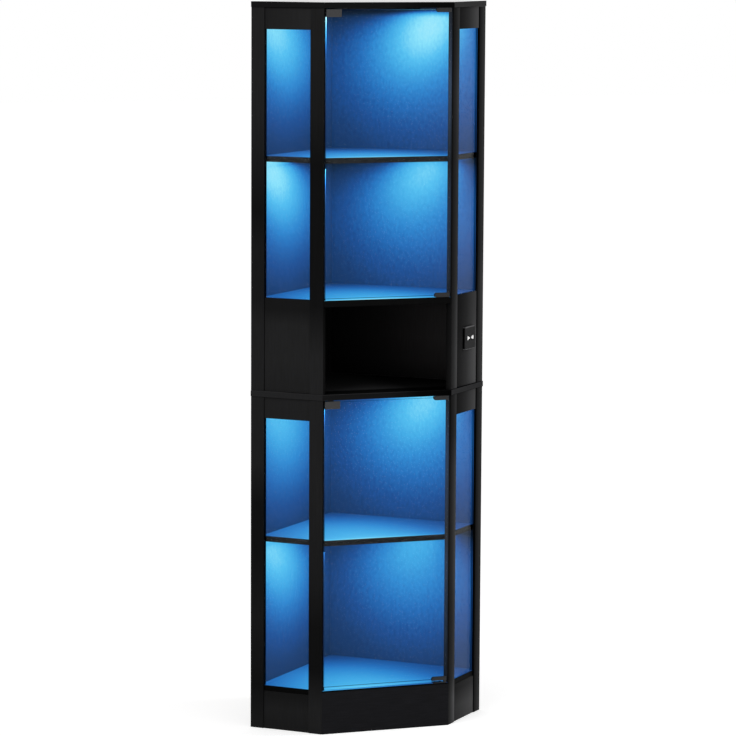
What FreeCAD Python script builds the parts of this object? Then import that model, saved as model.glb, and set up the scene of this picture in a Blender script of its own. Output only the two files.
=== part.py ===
import FreeCAD
import Part
import Sketcher

import math
import os
import re
from collections import namedtuple

# Corner curio cabinet: two stacked glazed units with an open bay between their doors.
# The plan is a square corner with its front cut off at 45 degrees. Lengths are millimetres,
# +Z is up, the doors face -Y and the origin lies under the middle of the bounding box.

SIZES = {
    # Plan and levels of the whole cabinet
    "cabinet_height": 1800,
    "wall_leg": 434,
    "side_depth": 197,
    "slab_overhang": 2,
    "lower_unit_height": 846,
    "bottom_board_top": 109,
    "lower_shelf_top": 483,
    "fixed_shelf_top": 1077,
    "upper_shelf_top": 1424,
    # Laminated boards
    "board": 14,
    "fixed_shelf_thickness": 16,
    "arris": 0.6,
    "stile_width": 36,
    "post_width": 37,
    "rail_height": 53,
    "rail_recess": 2.5,
    "tab_recess": 4,
    "panel_thickness": 5,
    "panel_recess": 17.5,
    "panel_groove_depth": 6,
    "batten_width": 28,
    "shelf_ease": 0.3,
    # Side panes and the grooves that hold them
    "pane_thickness": 4,
    "glass_recess": 7,
    "glass_arris": 0.8,
    "groove_depth": 5,
    "groove_ease": 0.2,
    "end_ease": 0.5,
    # Dowels, cam fittings, shelf pins and back panel screws
    "dowel_radius": 3,
    "dowel_length": 24,
    "dowel_seat": 6,
    "dowel_inset": 9,
    "cam_radius": 6,
    "cam_depth": 10,
    "cam_offset": 24,
    "cam_inset": 10,
    "bolt_radius": 3,
    "pin_radius": 2.5,
    "pin_seat": 8,
    "pin_reach": 8,
    "screw_radius": 1.5,
    "screw_head_radius": 2.8,
    "screw_head_height": 1.6,
    "panel_screw_length": 15,
    "plate_screw_length": 10,
    "hole_ease": 0.08,
    "tip_ease": 0.3,
    # Glass doors and their pivot hinges
    "door_thickness": 4,
    "door_inset": 0.2,
    "door_gap": 5.5,
    "pivot_inset": 5,
    "pivot_radius": 1.5,
    "pivot_ease": 0.06,
    "plate_thickness": 1.2,
    "plate_half_width": 4,
    "plate_length": 34,
    "plate_tongue_start": 2,
    "plate_tongue_end": 14,
    "plate_screw_row": 8.5,
    "plate_screw_first": 9,
    "plate_screw_pitch": 14,
    "kick_collar_height": 5,
    "collar_radius": 3.5,
    "run_gap": 0.3,
    "clip_web": 2.5,
    "clip_jaw": 2,
    "clip_grip": 6.6,
    "clip_length": 39,
    "clip_round": 3.5,
    "clip_bevel": 3.5,
    "clamp_radius": 2,
    "clamp_inset": 12,
    # Strike plates and magnetic push latches
    "strike_length": 39,
    "strike_height": 18.5,
    "strike_wall": 1,
    "strike_margin": 0.2,
    "strike_round": 2,
    "latch_gap": 0.3,
    "latch_length": 46,
    "latch_width": 14,
    "latch_height": 15,
    "latch_axis_drop": 8,
    "latch_ear_width": 34,
    "latch_ear_length": 16,
    "latch_ear_height": 2,
    "latch_screw_pitch": 24,
    "plunger_radius": 4.5,
    "plunger_reach": 6,
    "plunger_tail": 24,
    "plunger_room": 4,
    # Light bars under the ceilings of the four glazed compartments
    "light_setback": 192,
    "light_length": 300,
    "light_width": 12,
    "light_height": 8,
    "light_wall": 1.2,
    "tape_thickness": 1,
    "tape_end_gap": 2,
    "chip_length": 5,
    "chip_width": 5,
    "chip_height": 1.6,
    "chip_pitch": 33.3,
    "chip_count": 9,
    # Charger in the right side of the open bay
    "charger_from_wall": 89.5,
    "charger_level": 965,
    "charger_width": 61,
    "charger_height": 58,
    "charger_thickness": 8,
    "charger_round": 6,
    "charger_bevel": 2.6,
    "charger_body_width": 50,
    "charger_body_height": 46,
    "charger_body_depth": 26,
    "charger_body_ease": 0.5,
    "port_pitch": 23,
    "port_width": 15,
    "port_height": 11,
    "port_depth": 6,
    "port_ease": 0.1,
    "socket_width": 12.4,
    "socket_height": 5.4,
    "socket_depth": 5,
    "tongue_width": 11,
    "tongue_height": 1.9,
    "tongue_depth": 4,
    "gland_radius": 5,
    "gland_length": 12,
    "gland_drop": 10,
    # How far every cutting tool runs past the face that it cuts
    "overrun": 2,
}

FORMULAS = {
    "back_corner": "((wall_leg + side_depth + arris) / sqrt(2) + slab_overhang) / 2",
    "front_line": "back_corner - (wall_leg + side_depth) / sqrt(2)",
    "front_half": "(wall_leg - side_depth) / sqrt(2)",
    "slab_leg": "wall_leg + slab_overhang",
    "slab_side": "side_depth + slab_overhang * tan(22.5)",
    "top_underside": "cabinet_height - board",
    "middle_underside": "lower_unit_height - board",
    "inner_leg": "wall_leg - board",
    "lining": "panel_recess + panel_thickness",
    "panel_end": "inner_leg + panel_groove_depth - end_ease",
    "post_start": "side_depth - post_width",
    "pane_inside": "glass_recess + pane_thickness",
    "shelf_edge": "inner_leg - shelf_ease",
    "base_rail_top": "bottom_board_top - board",
    "bottom_front": "side_depth + board - board * sqrt(2)",
    "door_left": "door_gap - front_half",
    "door_right": "front_half - door_gap",
    "door_back": "door_inset + door_thickness",
    "door_clear": "plate_thickness + run_gap + clip_web",
    "pivot_x": "door_right - pivot_inset",
    "pivot_y": "door_inset + door_thickness / 2",
    "strike_left": "door_left + strike_margin",
    "latch_x": "strike_left + strike_length / 2",
    "latch_front": "door_back + strike_wall + latch_gap + plunger_reach",
    "charger_face": "rail_recess - charger_thickness",
}

PANEL_SCREW_SHARES = (0.3, 0.8)
LATCH_EAR_SHARE = 0.5
X_AXIS = FreeCAD.Vector(1, 0, 0)
Y_AXIS = FreeCAD.Vector(0, 1, 0)
Z_AXIS = FreeCAD.Vector(0, 0, 1)
PARALLEL = 1e-6

doc = FreeCAD.newDocument("corner_curio_cabinet")
sheet = doc.addObject("Spreadsheet::Sheet", "sizes")
for row, (size_name, size_value) in enumerate(SIZES.items(), start=1):
    sheet.set(f"A{row}", size_name)
    sheet.set(f"B{row}", str(size_value))
    sheet.setAlias(f"B{row}", size_name)
doc.recompute()

nodes = {}


# Binding and placing

def expression(text):
    """A formula in size names, as an expression on the sheet's cells."""
    def swap(found):
        name = found.group()
        if name in FORMULAS:
            return f"({expression(FORMULAS[name])})"
        return f"sizes.{name}" if name in SIZES else name
    return re.sub(r"[a-z_][a-z_0-9]*", swap, text)


def bind(piece, **sizes):
    """Binds properties of an object to formulas."""
    for name, text in sizes.items():
        piece.setExpression(name, expression(text))


def span(ends):
    """The formula of the length between two formulas."""
    return f"({ends[1]}) - ({ends[0]})"


def about(centre, length):
    """Two ends of a length that is centred on a place."""
    return f"({centre}) - ({length}) / 2", f"({centre}) + ({length}) / 2"


# A frame turns its own x and y into the cabinet's, and says at which end of x a box starts.
Frame = namedtuple("Frame", "to_cabinet turn start")

ALONG_SIDE = "back_corner + (({y}) - ({x}) - wall_leg) / sqrt(2)"

# Sides: x runs from the wall end to the front corner, y from the outer face inwards.
LEFT = Frame(("(({x}) + ({y}) - wall_leg) / sqrt(2)", ALONG_SIDE), -45, 0)
RIGHT = Frame(("(wall_leg - ({x}) - ({y})) / sqrt(2)", ALONG_SIDE), 45, 1)
# Corner: x runs along the left wall and y along the right wall, both from the back corner.
CORNER = Frame(("(({y}) - ({x})) / sqrt(2)", "back_corner - (({x}) + ({y})) / sqrt(2)"), 225, 0)
# Front: x runs from the middle to the right, y from the front line of the carcass inwards.
FRONT = Frame(("({x})", "front_line + ({y})"), 0, 0)

TIPS = {
    "x": FreeCAD.Rotation(Y_AXIS, 90),
    "y": FreeCAD.Rotation(X_AXIS, -90),
    "z": FreeCAD.Rotation(),
}


def place(piece, frame, x, y, z, tip=TIPS["z"]):
    """Puts an object at a place of a frame, tipped first about its own origin."""
    turned = FreeCAD.Rotation(Z_AXIS, frame.turn).multiply(tip)
    piece.Placement = FreeCAD.Placement(FreeCAD.Vector(), turned)
    across, along = (text.format(x=x, y=y) for text in frame.to_cabinet)
    for axis, text in zip("xyz", (across, along, z)):
        piece.setExpression(f".Placement.Base.{axis}", expression(text))


# Shapes that the pieces are made of

def box(label, frame, x, y, z):
    """A plain block between pairs of formulas in a frame."""
    piece = doc.addObject("Part::Box", label)
    bind(piece, Length=span(x), Width=span(y), Height=span(z))
    place(piece, frame, x[frame.start], y[0], z[0])
    return piece


def rod(label, frame, axis, radius, x, y, z):
    """A round rod along one axis of a frame: that axis has two ends, the others a centre."""
    places = {"x": x, "y": y, "z": z}
    ends = places[axis]
    piece = doc.addObject("Part::Cylinder", label)
    bind(piece, Radius=radius, Height=span(ends))
    places[axis] = ends[0]
    place(piece, frame, places["x"], places["y"], places["z"], TIPS[axis])
    return piece


def edges_along(shape, axis, keep):
    """Names of a shape's edges that run along an axis and pass a test."""
    names = []
    for number, edge in enumerate(shape.Edges, start=1):
        direction = edge.tangentAt(edge.FirstParameter)
        if direction.cross(axis).Length < PARALLEL and keep(edge.CenterOfMass):
            names.append(f"Edge{number}")
    return names


def dress(body, kind, size, axis=None, keep=None):
    """Adds a chamfer or fillet to a body's last feature, on all edges or on those picked."""
    doc.recompute()
    last = body.Tip
    feature = body.newObject(f"PartDesign::{kind}", f"{body.Name}_{kind.lower()}")
    feature.Base = (last, edges_along(last.Shape, axis, keep) if axis else [""])
    feature.UseAllEdges = axis is None
    bind(feature, **{"Size" if kind == "Chamfer" else "Radius": size})


def block(label, frame, x, y, z):
    """A body that starts as a block between pairs of formulas in a frame."""
    body = doc.addObject("PartDesign::Body", label)
    blank = body.newObject("PartDesign::AdditiveBox", f"{label}_blank")
    bind(blank, Length=span(x), Width=span(y), Height=span(z))
    place(body, frame, x[frame.start], y[0], z[0])
    doc.recompute()
    return body


def board(label, frame, x, y, z, arris="arris"):
    """A square-cut board with its edges broken."""
    body = block(label, frame, x, y, z)
    dress(body, "Chamfer", arris)
    return body


def outline(label, frame, corners, z):
    """A body padded from z[0] to z[1] on a closed outline of straight sides."""
    body = doc.addObject("PartDesign::Body", label)
    sketch = body.newObject("Sketcher::SketchObject", f"{label}_outline")
    plane = next(item for item in body.Origin.OriginFeatures if item.Role == "XY_Plane")
    sketch.AttachmentSupport = [(plane, "")]
    sketch.MapMode = "FlatFace"
    count = len(corners)
    ring = [Z_AXIS.cross(X_AXIS)] * count
    for number in range(count):
        angle = 2 * math.pi * number / count
        ring[number] = FreeCAD.Vector(math.cos(angle), math.sin(angle), 0)
    for number in range(count):
        sketch.addGeometry(Part.LineSegment(ring[number], ring[(number + 1) % count]), False)
    for number in range(count):
        sketch.addConstraint(Sketcher.Constraint("Coincident", number, 2, (number + 1) % count, 1))
    for number, corner in enumerate(corners):
        for kind, text, start in zip(("DistanceX", "DistanceY"), corner, ring[number]):
            index = sketch.addConstraint(Sketcher.Constraint(kind, -1, 1, number, 1, start))
            sketch.setExpression(f"Constraints[{index}]", expression(text))
    doc.recompute()
    pad = body.newObject("PartDesign::Pad", f"{label}_pad")
    pad.Profile = sketch
    bind(pad, Length=span(z))
    place(body, frame, "0", "0", z[0])
    doc.recompute()
    return body


def gather(label, pieces):
    """Several separate solids under one name."""
    group = doc.addObject("Part::Compound", label)
    group.Links = pieces
    return group


def fuse(label, pieces):
    """Several overlapping or touching shapes made one."""
    joined = doc.addObject("Part::MultiFuse", label)
    joined.Shapes = pieces
    return joined


def cut(label, base, tools):
    """A shape with tools taken out of it, or the shape itself where there are none."""
    if not tools:
        return base
    result = doc.addObject("Part::Cut", label)
    result.Base = base
    result.Tool = tools[0] if len(tools) == 1 else fuse(f"{label}_tools", tools)
    return result


def keep_node(label, piece):
    """Names an object as one sub-part of the cabinet."""
    for other in doc.findObjects(Label=f"^{label}$"):
        if other is not piece:
            other.Label = f"{label}_blank"
    piece.Label = label
    nodes[label] = piece


# Joints between the uprights and the slabs: a dowel and a cam bolt at each end

SIDES = (("left", LEFT), ("right", RIGHT))
UNITS = (
    ("lower", "0", "middle_underside", ("lower_shelf_top",)),
    ("upper", "lower_unit_height", "top_underside", ("fixed_shelf_top", "upper_shelf_top")),
)
# Thickness of the board under each level that carries something
BOARDS_UNDER = {
    "bottom_board_top": "board", "lower_shelf_top": "board",
    "fixed_shelf_top": "fixed_shelf_thickness", "upper_shelf_top": "board",
}
UPRIGHTS = (
    ("stile", ("0", "stile_width"), "cam_inset", "stile_width - dowel_inset"),
    ("post", ("post_start", "side_depth"), "side_depth - cam_inset", "post_start + dowel_inset"),
)

dowels = []
cam_bolts = []
cam_nuts = []
shelf_pins = []
panel_screws = []
slab_holes = {"middle_slab": [], "top_slab": []}


def sunk(end, upwards, length, seat, ease):
    """Ends of a rod that is sunk its seat deep into a slab and runs on into an upright."""
    into_slab = f"({seat}) + ({ease})"
    into_upright = f"({length}) - ({seat}) + ({ease})"
    if upwards:
        return f"({end}) - ({into_slab})", f"({end}) + ({into_upright})"
    return f"({end}) - ({into_upright})", f"({end}) + ({into_slab})"


def dowel_joint(name, frame, x, y, end, upwards, slab):
    """One dowel between a slab and an upright; gives the hole that both need."""
    ends = sunk(end, upwards, "dowel_length", "dowel_seat", "0")
    dowels.append(rod(f"{name}_dowel", frame, "z", "dowel_radius", x, y, ends))
    hole_ends = sunk(end, upwards, "dowel_length", "dowel_seat", "tip_ease")
    hole = rod(f"{name}_dowel_hole", frame, "z", "dowel_radius + hole_ease", x, y, hole_ends)
    slab_holes[slab].append(hole)
    return hole


def cam_joint(name, frame, x, end, upwards, slab):
    """One cam bolt in a slab and its nut in the upright's inner face; gives the holes."""
    length = "cam_offset + dowel_seat"
    ends = sunk(end, upwards, length, "dowel_seat", "0")
    cam_bolts.append(rod(f"{name}_bolt", frame, "z", "bolt_radius", x, "board / 2", ends))
    hole_ends = sunk(end, upwards, length, "dowel_seat", "tip_ease")
    hole = rod(f"{name}_bolt_hole", frame, "z", "bolt_radius + hole_ease", x, "board / 2", hole_ends)
    slab_holes[slab].append(hole)
    level = f"({end}) + cam_offset" if upwards else f"({end}) - cam_offset"
    nut = rod(f"{name}_nut_blank", frame, "y", "cam_radius", x, ("board - cam_depth", "board"), level)
    cam_nuts.append(cut(f"{name}_nut", nut, [hole]))
    seat = ("board - cam_depth - tip_ease", "board + overrun")
    recess = rod(f"{name}_recess", frame, "y", "cam_radius + hole_ease", x, seat, level)
    return [hole, recess]


def unit_ends(floor, roof, unit):
    """Each end of a unit's uprights that meets a slab: its name, level, direction and slab."""
    if unit == "lower":
        return (("head", roof, False, "middle_slab"),)
    return (("head", roof, False, "top_slab"), ("foot", floor, True, "middle_slab"))


# Stiles against the walls and posts at the front corners, grooved for panes and back panels

def upright(unit, side, frame, kind, x, cam_x, dowel_x, floor, roof, shelves):
    """One upright board of a unit with its grooves, joint holes and shelf pin holes."""
    label = f"{unit}_{side}_{kind}"
    full = (f"({floor}) - overrun", f"({roof}) + overrun")
    pane_slot = ("glass_recess - groove_ease", "pane_inside + groove_ease")
    if kind == "stile":
        slot = ("stile_width - groove_depth", "stile_width + overrun")
        panel_slot = ("panel_recess - groove_ease", "lining + groove_ease")
        panel_depth = ("board - panel_groove_depth", "board + overrun")
        tools = [box(f"{label}_panel_groove", frame, panel_slot, panel_depth, full)]
    else:
        slot = ("post_start - overrun", "post_start + groove_depth")
        tools = []
    tools.append(box(f"{label}_pane_groove", frame, slot, pane_slot, full))
    for end_name, end, upwards, slab in unit_ends(floor, roof, unit):
        name = f"{label}_{end_name}"
        tools.append(dowel_joint(name, frame, dowel_x, "board / 2", end, upwards, slab))
        tools.extend(cam_joint(name, frame, cam_x, end, upwards, slab))
    for shelf in shelves:
        level = f"{shelf} - {BOARDS_UNDER[shelf]} - pin_radius"
        name = f"{label}_{shelf}_pin"
        reach = ("board - pin_seat", "board + pin_reach")
        seat = ("board - pin_seat - tip_ease", "board + overrun")
        shelf_pins.append(rod(name, frame, "y", "pin_radius", dowel_x, reach, level))
        tools.append(rod(f"{name}_hole", frame, "y", "pin_radius + hole_ease", dowel_x, seat, level))
    blank = board(f"{label}_blank", frame, x, ("0", "board"), (floor, roof))
    keep_node(label, cut(f"{label}_cut", blank, tools))


for unit, floor, roof, shelves in UNITS:
    for side, frame in SIDES:
        for kind, x, cam_x, dowel_x in UPRIGHTS:
            upright(unit, side, frame, kind, x, cam_x, dowel_x, floor, roof, shelves)


# Rails and solid panels between a stile and a post, with tongues in the pane grooves

def side_panel(label, frame, z, grooved, tools=()):
    """A board between stile and post; its tongues fill the grooves beside it."""
    between = ("stile_width", "post_start")
    tongue_x = ("stile_width - groove_depth + end_ease", "post_start + groove_depth - end_ease")
    thick = ("rail_recess", "board")
    blank = board(f"{label}_board", frame, between, thick, z)
    tongue = box(f"{label}_tongue", frame, tongue_x, ("glass_recess", "pane_inside"), z)
    tools = list(tools)
    if grooved:
        along = ("stile_width - groove_depth - overrun", "post_start + groove_depth + overrun")
        slot = ("glass_recess - groove_ease", "pane_inside + groove_ease")
        deep = (f"({z[0]}) - overrun", f"({z[0]}) + groove_depth")
        tools.append(box(f"{label}_groove", frame, along, slot, deep))
    keep_node(label, cut(f"{label}_cut", fuse(f"{label}_joined", [blank, tongue]), tools))


charger_across = about("charger_from_wall", "charger_body_width + 2 * charger_body_ease")
charger_up = about("charger_level", "charger_body_height + 2 * charger_body_ease")
charger_through = ("rail_recess - overrun", "board + overrun")

for side, frame in SIDES:
    for unit, floor, roof, shelves in UNITS:
        side_panel(f"{unit}_{side}_top_rail", frame, (f"{roof} - rail_height", roof), True)
    side_panel(f"{side}_base_rail", frame, ("0", "base_rail_top"), False)
    opening = []
    if side == "right":
        opening = [box("charger_opening", frame, charger_across, charger_through, charger_up)]
    side_panel(f"{side}_bay_panel", frame, ("lower_unit_height", "fixed_shelf_top"), False, opening)

# Side panes, standing on the board below and held in the grooves of stile, post and rail
for side, frame in SIDES:
    for unit, foot, roof in (
        ("lower", "bottom_board_top", "middle_underside"),
        ("upper", "fixed_shelf_top", "top_underside"),
    ):
        pane_x = ("stile_width - groove_depth + end_ease", "post_start + groove_depth - end_ease")
        pane_z = (foot, f"{roof} - rail_height + groove_depth - end_ease")
        pane_y = ("glass_recess", "pane_inside")
        label = f"{unit}_{side}_side_glass"
        keep_node(label, board(label, frame, pane_x, pane_y, pane_z, "glass_arris"))


# Screws through a sheet or plate into a board behind it

def screw(name, frame, axis, x, y, z, into, length):
    """A pan-head screw whose head lies on a face; the axis gives that face, into is 1 or -1."""
    places = {"x": x, "y": y, "z": z}
    face = places[axis]
    shank = (face, f"({face}) + ({length})") if into > 0 else (f"({face}) - ({length})", face)
    head = f"({face}) - screw_head_height" if into > 0 else f"({face}) + screw_head_height"
    places[axis] = shank
    stem = rod(f"{name}_shank", frame, axis, "screw_radius", **places)
    places[axis] = (head, face) if into > 0 else (face, head)
    top = rod(f"{name}_head", frame, axis, "screw_head_radius", **places)
    bottom, end = shank
    places[axis] = (f"({bottom}) - tip_ease", f"({end}) + tip_ease")
    hole = rod(f"{name}_hole", frame, axis, "screw_radius + hole_ease", **places)
    return fuse(name, [stem, top]), hole


# Back panels in the grooves of the stiles, screwed to the edges of the boards
panel_holes = {}
board_holes = {level: [] for level in BOARDS_UNDER}
for unit, levels in (
    ("lower", ("bottom_board_top", "lower_shelf_top")),
    ("upper", ("fixed_shelf_top", "upper_shelf_top")),
):
    for side, axis in (("left", "y"), ("right", "x")):
        panel_holes[unit, side] = []
        for level in levels:
            for share in PANEL_SCREW_SHARES:
                spot = {"x": f"inner_leg * {share}", "y": f"inner_leg * {share}"}
                spot[axis] = "panel_recess"
                name = f"{unit}_{side}_{level}_screw_{int(share * 100)}"
                middle = f"{level} - {BOARDS_UNDER[level]} / 2"
                piece, hole = screw(name, CORNER, axis, z=middle, into=1, length="panel_screw_length", **spot)
                panel_screws.append(piece)
                panel_holes[unit, side].append(hole)
                board_holes[level].append(hole)

for unit, floor, roof, shelves in UNITS:
    recessed = ("panel_recess", "lining")
    panels = (("left", ("lining", "panel_end"), recessed), ("right", recessed, ("0", "panel_end")))
    for side, x, y in panels:
        label = f"{unit}_{side}_back_panel"
        sheet_board = board(f"{label}_sheet", CORNER, x, y, (floor, roof))
        keep_node(label, cut(f"{label}_cut", sheet_board, panel_holes[unit, side]))
    # The batten behind the back corner, to which both panels are glued
    label = f"{unit}_corner_batten"
    batten_x = ("lining", "lining + batten_width")
    middle = "lining + batten_width / 2"
    holes = []
    for end_name, end, upwards, slab in unit_ends(floor, roof, unit):
        name = f"{label}_{end_name}"
        holes.append(dowel_joint(name, CORNER, middle, "panel_recess / 2", end, upwards, slab))
    stick = board(f"{label}_stick", CORNER, batten_x, ("0", "panel_recess"), (floor, roof))
    keep_node(label, cut(f"{label}_cut", stick, holes))


# Glass doors between plates: each turns about a vertical line near its right edge

hinge_plates = []
plate_screws = []
latch_screws = []
DOORS = (
    ("lower", "bottom_board_top", "middle_underside", "kick_board", "middle_slab", "kick_collar_height"),
    ("upper", "fixed_shelf_top", "top_underside", "fixed_shelf", "top_slab", None),
)
plate_holes = {"kick_board": [], "fixed_shelf": [], "middle_slab": [], "top_slab": []}


def off(face, downwards, distance):
    """A level at a distance from a face, below it or above it."""
    return f"({face}) - ({distance})" if downwards else f"({face}) + ({distance})"


def rising(first, second, downwards):
    """Two levels in rising order: measured downwards, the second is the lower."""
    return (second, first) if downwards else (first, second)


def hinge_plate(name, face, downwards, carrier, collar):
    """A steel plate screwed to a board, with the pivot pin that the door's clip turns on.

    A collar round the pin, where there is one, holds the clip that much further off the plate.
    """
    near = "pivot_x + plate_half_width"
    far = "pivot_x + plate_half_width - plate_length"
    tongue = "pivot_x - plate_tongue_start"
    front_edge = "pivot_y - plate_half_width"
    back_edge = "pivot_y + plate_half_width"
    tongue_edge = "pivot_y + plate_tongue_end"
    corners = (
        (far, front_edge), (near, front_edge), (near, back_edge),
        (tongue, back_edge), (tongue, tongue_edge), (far, tongue_edge),
    )
    under = off(face, downwards, "plate_thickness")
    plate = outline(f"{name}_plate", FRONT, corners, rising(face, under, downwards))
    shoulder = off(under, downwards, collar) if collar else under
    tip = off(shoulder, downwards, "run_gap + clip_web - tip_ease")
    pin = rod(f"{name}_pin", FRONT, "z", "pivot_radius", "pivot_x", "pivot_y", rising(face, tip, downwards))
    solids = [plate, pin]
    if collar:
        collar_z = rising(face, shoulder, downwards)
        solids.append(rod(f"{name}_collar", FRONT, "z", "collar_radius", "pivot_x", "pivot_y", collar_z))
    holes = []
    for number in range(2):
        x = f"pivot_x - plate_screw_first - plate_screw_pitch * {number}"
        piece, hole = screw(
            f"{name}_screw_{number}", FRONT, "z", x, "pivot_y + plate_screw_row", under,
            1 if downwards else -1, "plate_screw_length",
        )
        plate_screws.append(piece)
        plate_holes[carrier].append(hole)
        holes.append(hole)
    hinge_plates.append(cut(name, fuse(f"{name}_pinned", solids), holes))
    return shoulder


def hinge_clip(name, shoulder, downwards, clamps):
    """The clip on the door's corner: two jaws on the glass, a web with the pivot bore."""
    first = off(shoulder, downwards, "run_gap")
    web_end = off(first, downwards, "clip_web")
    jaw_end = off(web_end, downwards, "clip_grip")
    x = ("door_right - clip_length", "door_right")
    y = ("door_inset - clip_jaw", "door_back + clip_jaw")
    body = block(f"{name}_block", FRONT, x, y, rising(first, jaw_end, downwards))
    middle = body.Tip.Shape.BoundBox.Center
    dress(body, "Fillet", "clip_round", Z_AXIS, lambda at: at.x > middle.x)
    below = -1 if downwards else 1
    dress(body, "Chamfer", "clip_bevel", Y_AXIS, lambda at: at.x < middle.x and (at.z - middle.z) * below > 0)
    past = off(jaw_end, downwards, "overrun")
    slot_x = ("door_right - clip_length - overrun", "door_right + overrun")
    slot = box(f"{name}_slot", FRONT, slot_x, ("door_inset", "door_back"), rising(web_end, past, downwards))
    bore_ends = (f"({first}) - clip_web - overrun", f"({first}) + clip_web + overrun")
    bore = rod(f"{name}_bore", FRONT, "z", "pivot_radius + pivot_ease", "pivot_x", "pivot_y", bore_ends)
    tools = [slot, bore]
    level = off(web_end, downwards, "clip_grip / 2")
    for number in range(2):
        spot = "door_right - clamp_inset" if number == 0 else "door_right - clip_length + clamp_inset"
        depth = ("door_back", "door_back + clip_jaw")
        through = ("door_back - overrun", "door_back + clip_jaw + overrun")
        clamps.append(rod(f"{name}_clamp_{number}", FRONT, "y", "clamp_radius", spot, depth, level))
        tools.append(
            rod(f"{name}_clamp_hole_{number}", FRONT, "y", "clamp_radius + hole_ease", spot, through, level)
        )
    return cut(name, body, tools)


def strike_plate(label, roof):
    """A folded steel strike over the door's top edge, at the corner away from the hinges."""
    glass_top = f"{roof} - door_clear"
    x = ("strike_left", "strike_left + strike_length")
    y = ("door_inset - strike_wall", "door_back + strike_wall")
    top = f"{glass_top} + strike_wall"
    body = block(f"{label}_block", FRONT, x, y, (f"{top} - strike_height", top))
    middle = body.Tip.Shape.BoundBox.Center
    dress(body, "Fillet", "strike_round", Y_AXIS, lambda at: at.z < middle.z)
    slot_x = ("strike_left - overrun", "strike_left + strike_length + overrun")
    slot_z = (f"{top} - strike_height - overrun", glass_top)
    slot = box(f"{label}_slot", FRONT, slot_x, ("door_inset", "door_back"), slot_z)
    keep_node(label, cut(f"{label}_cut", body, [slot]))


def push_latch(unit, roof, slab):
    """A push latch under a slab: a housing with two ears and the magnetic plunger in its bore."""
    label = f"{unit}_latch_body"
    length = ("latch_front", "latch_front + latch_length")
    case = block(
        f"{label}_case", FRONT, about("latch_x", "latch_width"), length, (f"{roof} - latch_height", roof)
    )
    dress(case, "Chamfer", "arris")
    ear_middle = f"latch_front + latch_length * {LATCH_EAR_SHARE}"
    ear_y = about(ear_middle, "latch_ear_length")
    ear_under = f"{roof} - latch_ear_height"
    ears = box(f"{label}_ears", FRONT, about("latch_x", "latch_ear_width"), ear_y, (ear_under, roof))
    axis_level = f"{roof} - latch_axis_drop"
    bore_y = ("latch_front - overrun", "latch_front + plunger_tail + plunger_room")
    bore = rod(f"{label}_bore", FRONT, "y", "plunger_radius + hole_ease", "latch_x", bore_y, axis_level)
    tools = [bore]
    for sign in "-+":
        name = f"{label}_screw_{'left' if sign == '-' else 'right'}"
        x = f"latch_x {sign} latch_screw_pitch / 2"
        piece, hole = screw(name, FRONT, "z", x, ear_middle, ear_under, 1, "plate_screw_length")
        latch_screws.append(piece)
        tools.append(hole)
        plate_holes[slab].append(hole)
    keep_node(label, cut(f"{label}_cut", fuse(f"{label}_eared", [case, ears]), tools))
    plunger = doc.addObject("PartDesign::Body", f"{unit}_latch_plunger")
    stem = plunger.newObject("PartDesign::AdditiveCylinder", f"{unit}_plunger_stem")
    bind(stem, Radius="plunger_radius", Height="plunger_reach + plunger_tail")
    place(plunger, FRONT, "latch_x", "latch_front - plunger_reach", axis_level, TIPS["y"])
    dress(plunger, "Chamfer", "arris")
    keep_node(f"{unit}_latch_plunger", plunger)


for unit, foot, roof, foot_carrier, slab, collar in DOORS:
    glass_foot = f"{foot} + door_clear + {collar}" if collar else f"{foot} + door_clear"
    glass_z = (glass_foot, f"{roof} - door_clear")
    glass_x = ("door_left", "door_right")
    label = f"{unit}_door_glass"
    keep_node(label, board(label, FRONT, glass_x, ("door_inset", "door_back"), glass_z, "glass_arris"))
    clips = []
    clamps = []
    for name, face, downwards, carrier, rest in (
        ("top", roof, True, slab, None), ("bottom", foot, False, foot_carrier, collar),
    ):
        shoulder = hinge_plate(f"{unit}_{name}_hinge_plate", face, downwards, carrier, rest)
        clips.append(hinge_clip(f"{unit}_{name}_hinge_clip", shoulder, downwards, clamps))
    keep_node(f"{unit}_door_hinge_clips", gather(f"{unit}_door_hinge_clips", clips))
    keep_node(f"{unit}_door_clamp_screws", gather(f"{unit}_door_clamp_screws", clamps))
    strike_plate(f"{unit}_door_strike_plate", roof)
    push_latch(unit, roof, slab)


# Slabs, shelves and the boards of the base

slab_corners = (
    ("0", "0"), ("slab_leg", "0"), ("slab_leg", "slab_side"), ("slab_side", "slab_leg"), ("0", "slab_leg"),
)
for label, top in (("middle_slab", "lower_unit_height"), ("top_slab", "cabinet_height")):
    slab_board = outline(f"{label}_board", CORNER, slab_corners, (f"{top} - board", top))
    dress(slab_board, "Chamfer", "arris")
    keep_node(label, cut(f"{label}_cut", slab_board, slab_holes[label] + plate_holes[label]))

loose_corners = (
    ("lining", "lining"), ("shelf_edge", "lining"), ("shelf_edge", "side_depth"),
    ("side_depth", "shelf_edge"), ("lining", "shelf_edge"),
)
fixed_corners = (
    ("lining", "lining"), ("inner_leg", "lining"), ("inner_leg", "side_depth"), ("wall_leg", "side_depth"),
    ("side_depth", "wall_leg"), ("side_depth", "inner_leg"), ("lining", "inner_leg"),
)
for label, corners in (
    ("lower_shelf", loose_corners), ("upper_shelf", loose_corners), ("fixed_shelf", fixed_corners),
):
    top = f"{label}_top"
    shelf_board = outline(f"{label}_board", CORNER, corners, (f"{top} - {BOARDS_UNDER[top]}", top))
    dress(shelf_board, "Chamfer", "arris")
    keep_node(label, cut(f"{label}_cut", shelf_board, board_holes[top] + plate_holes.get(label, [])))

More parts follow.
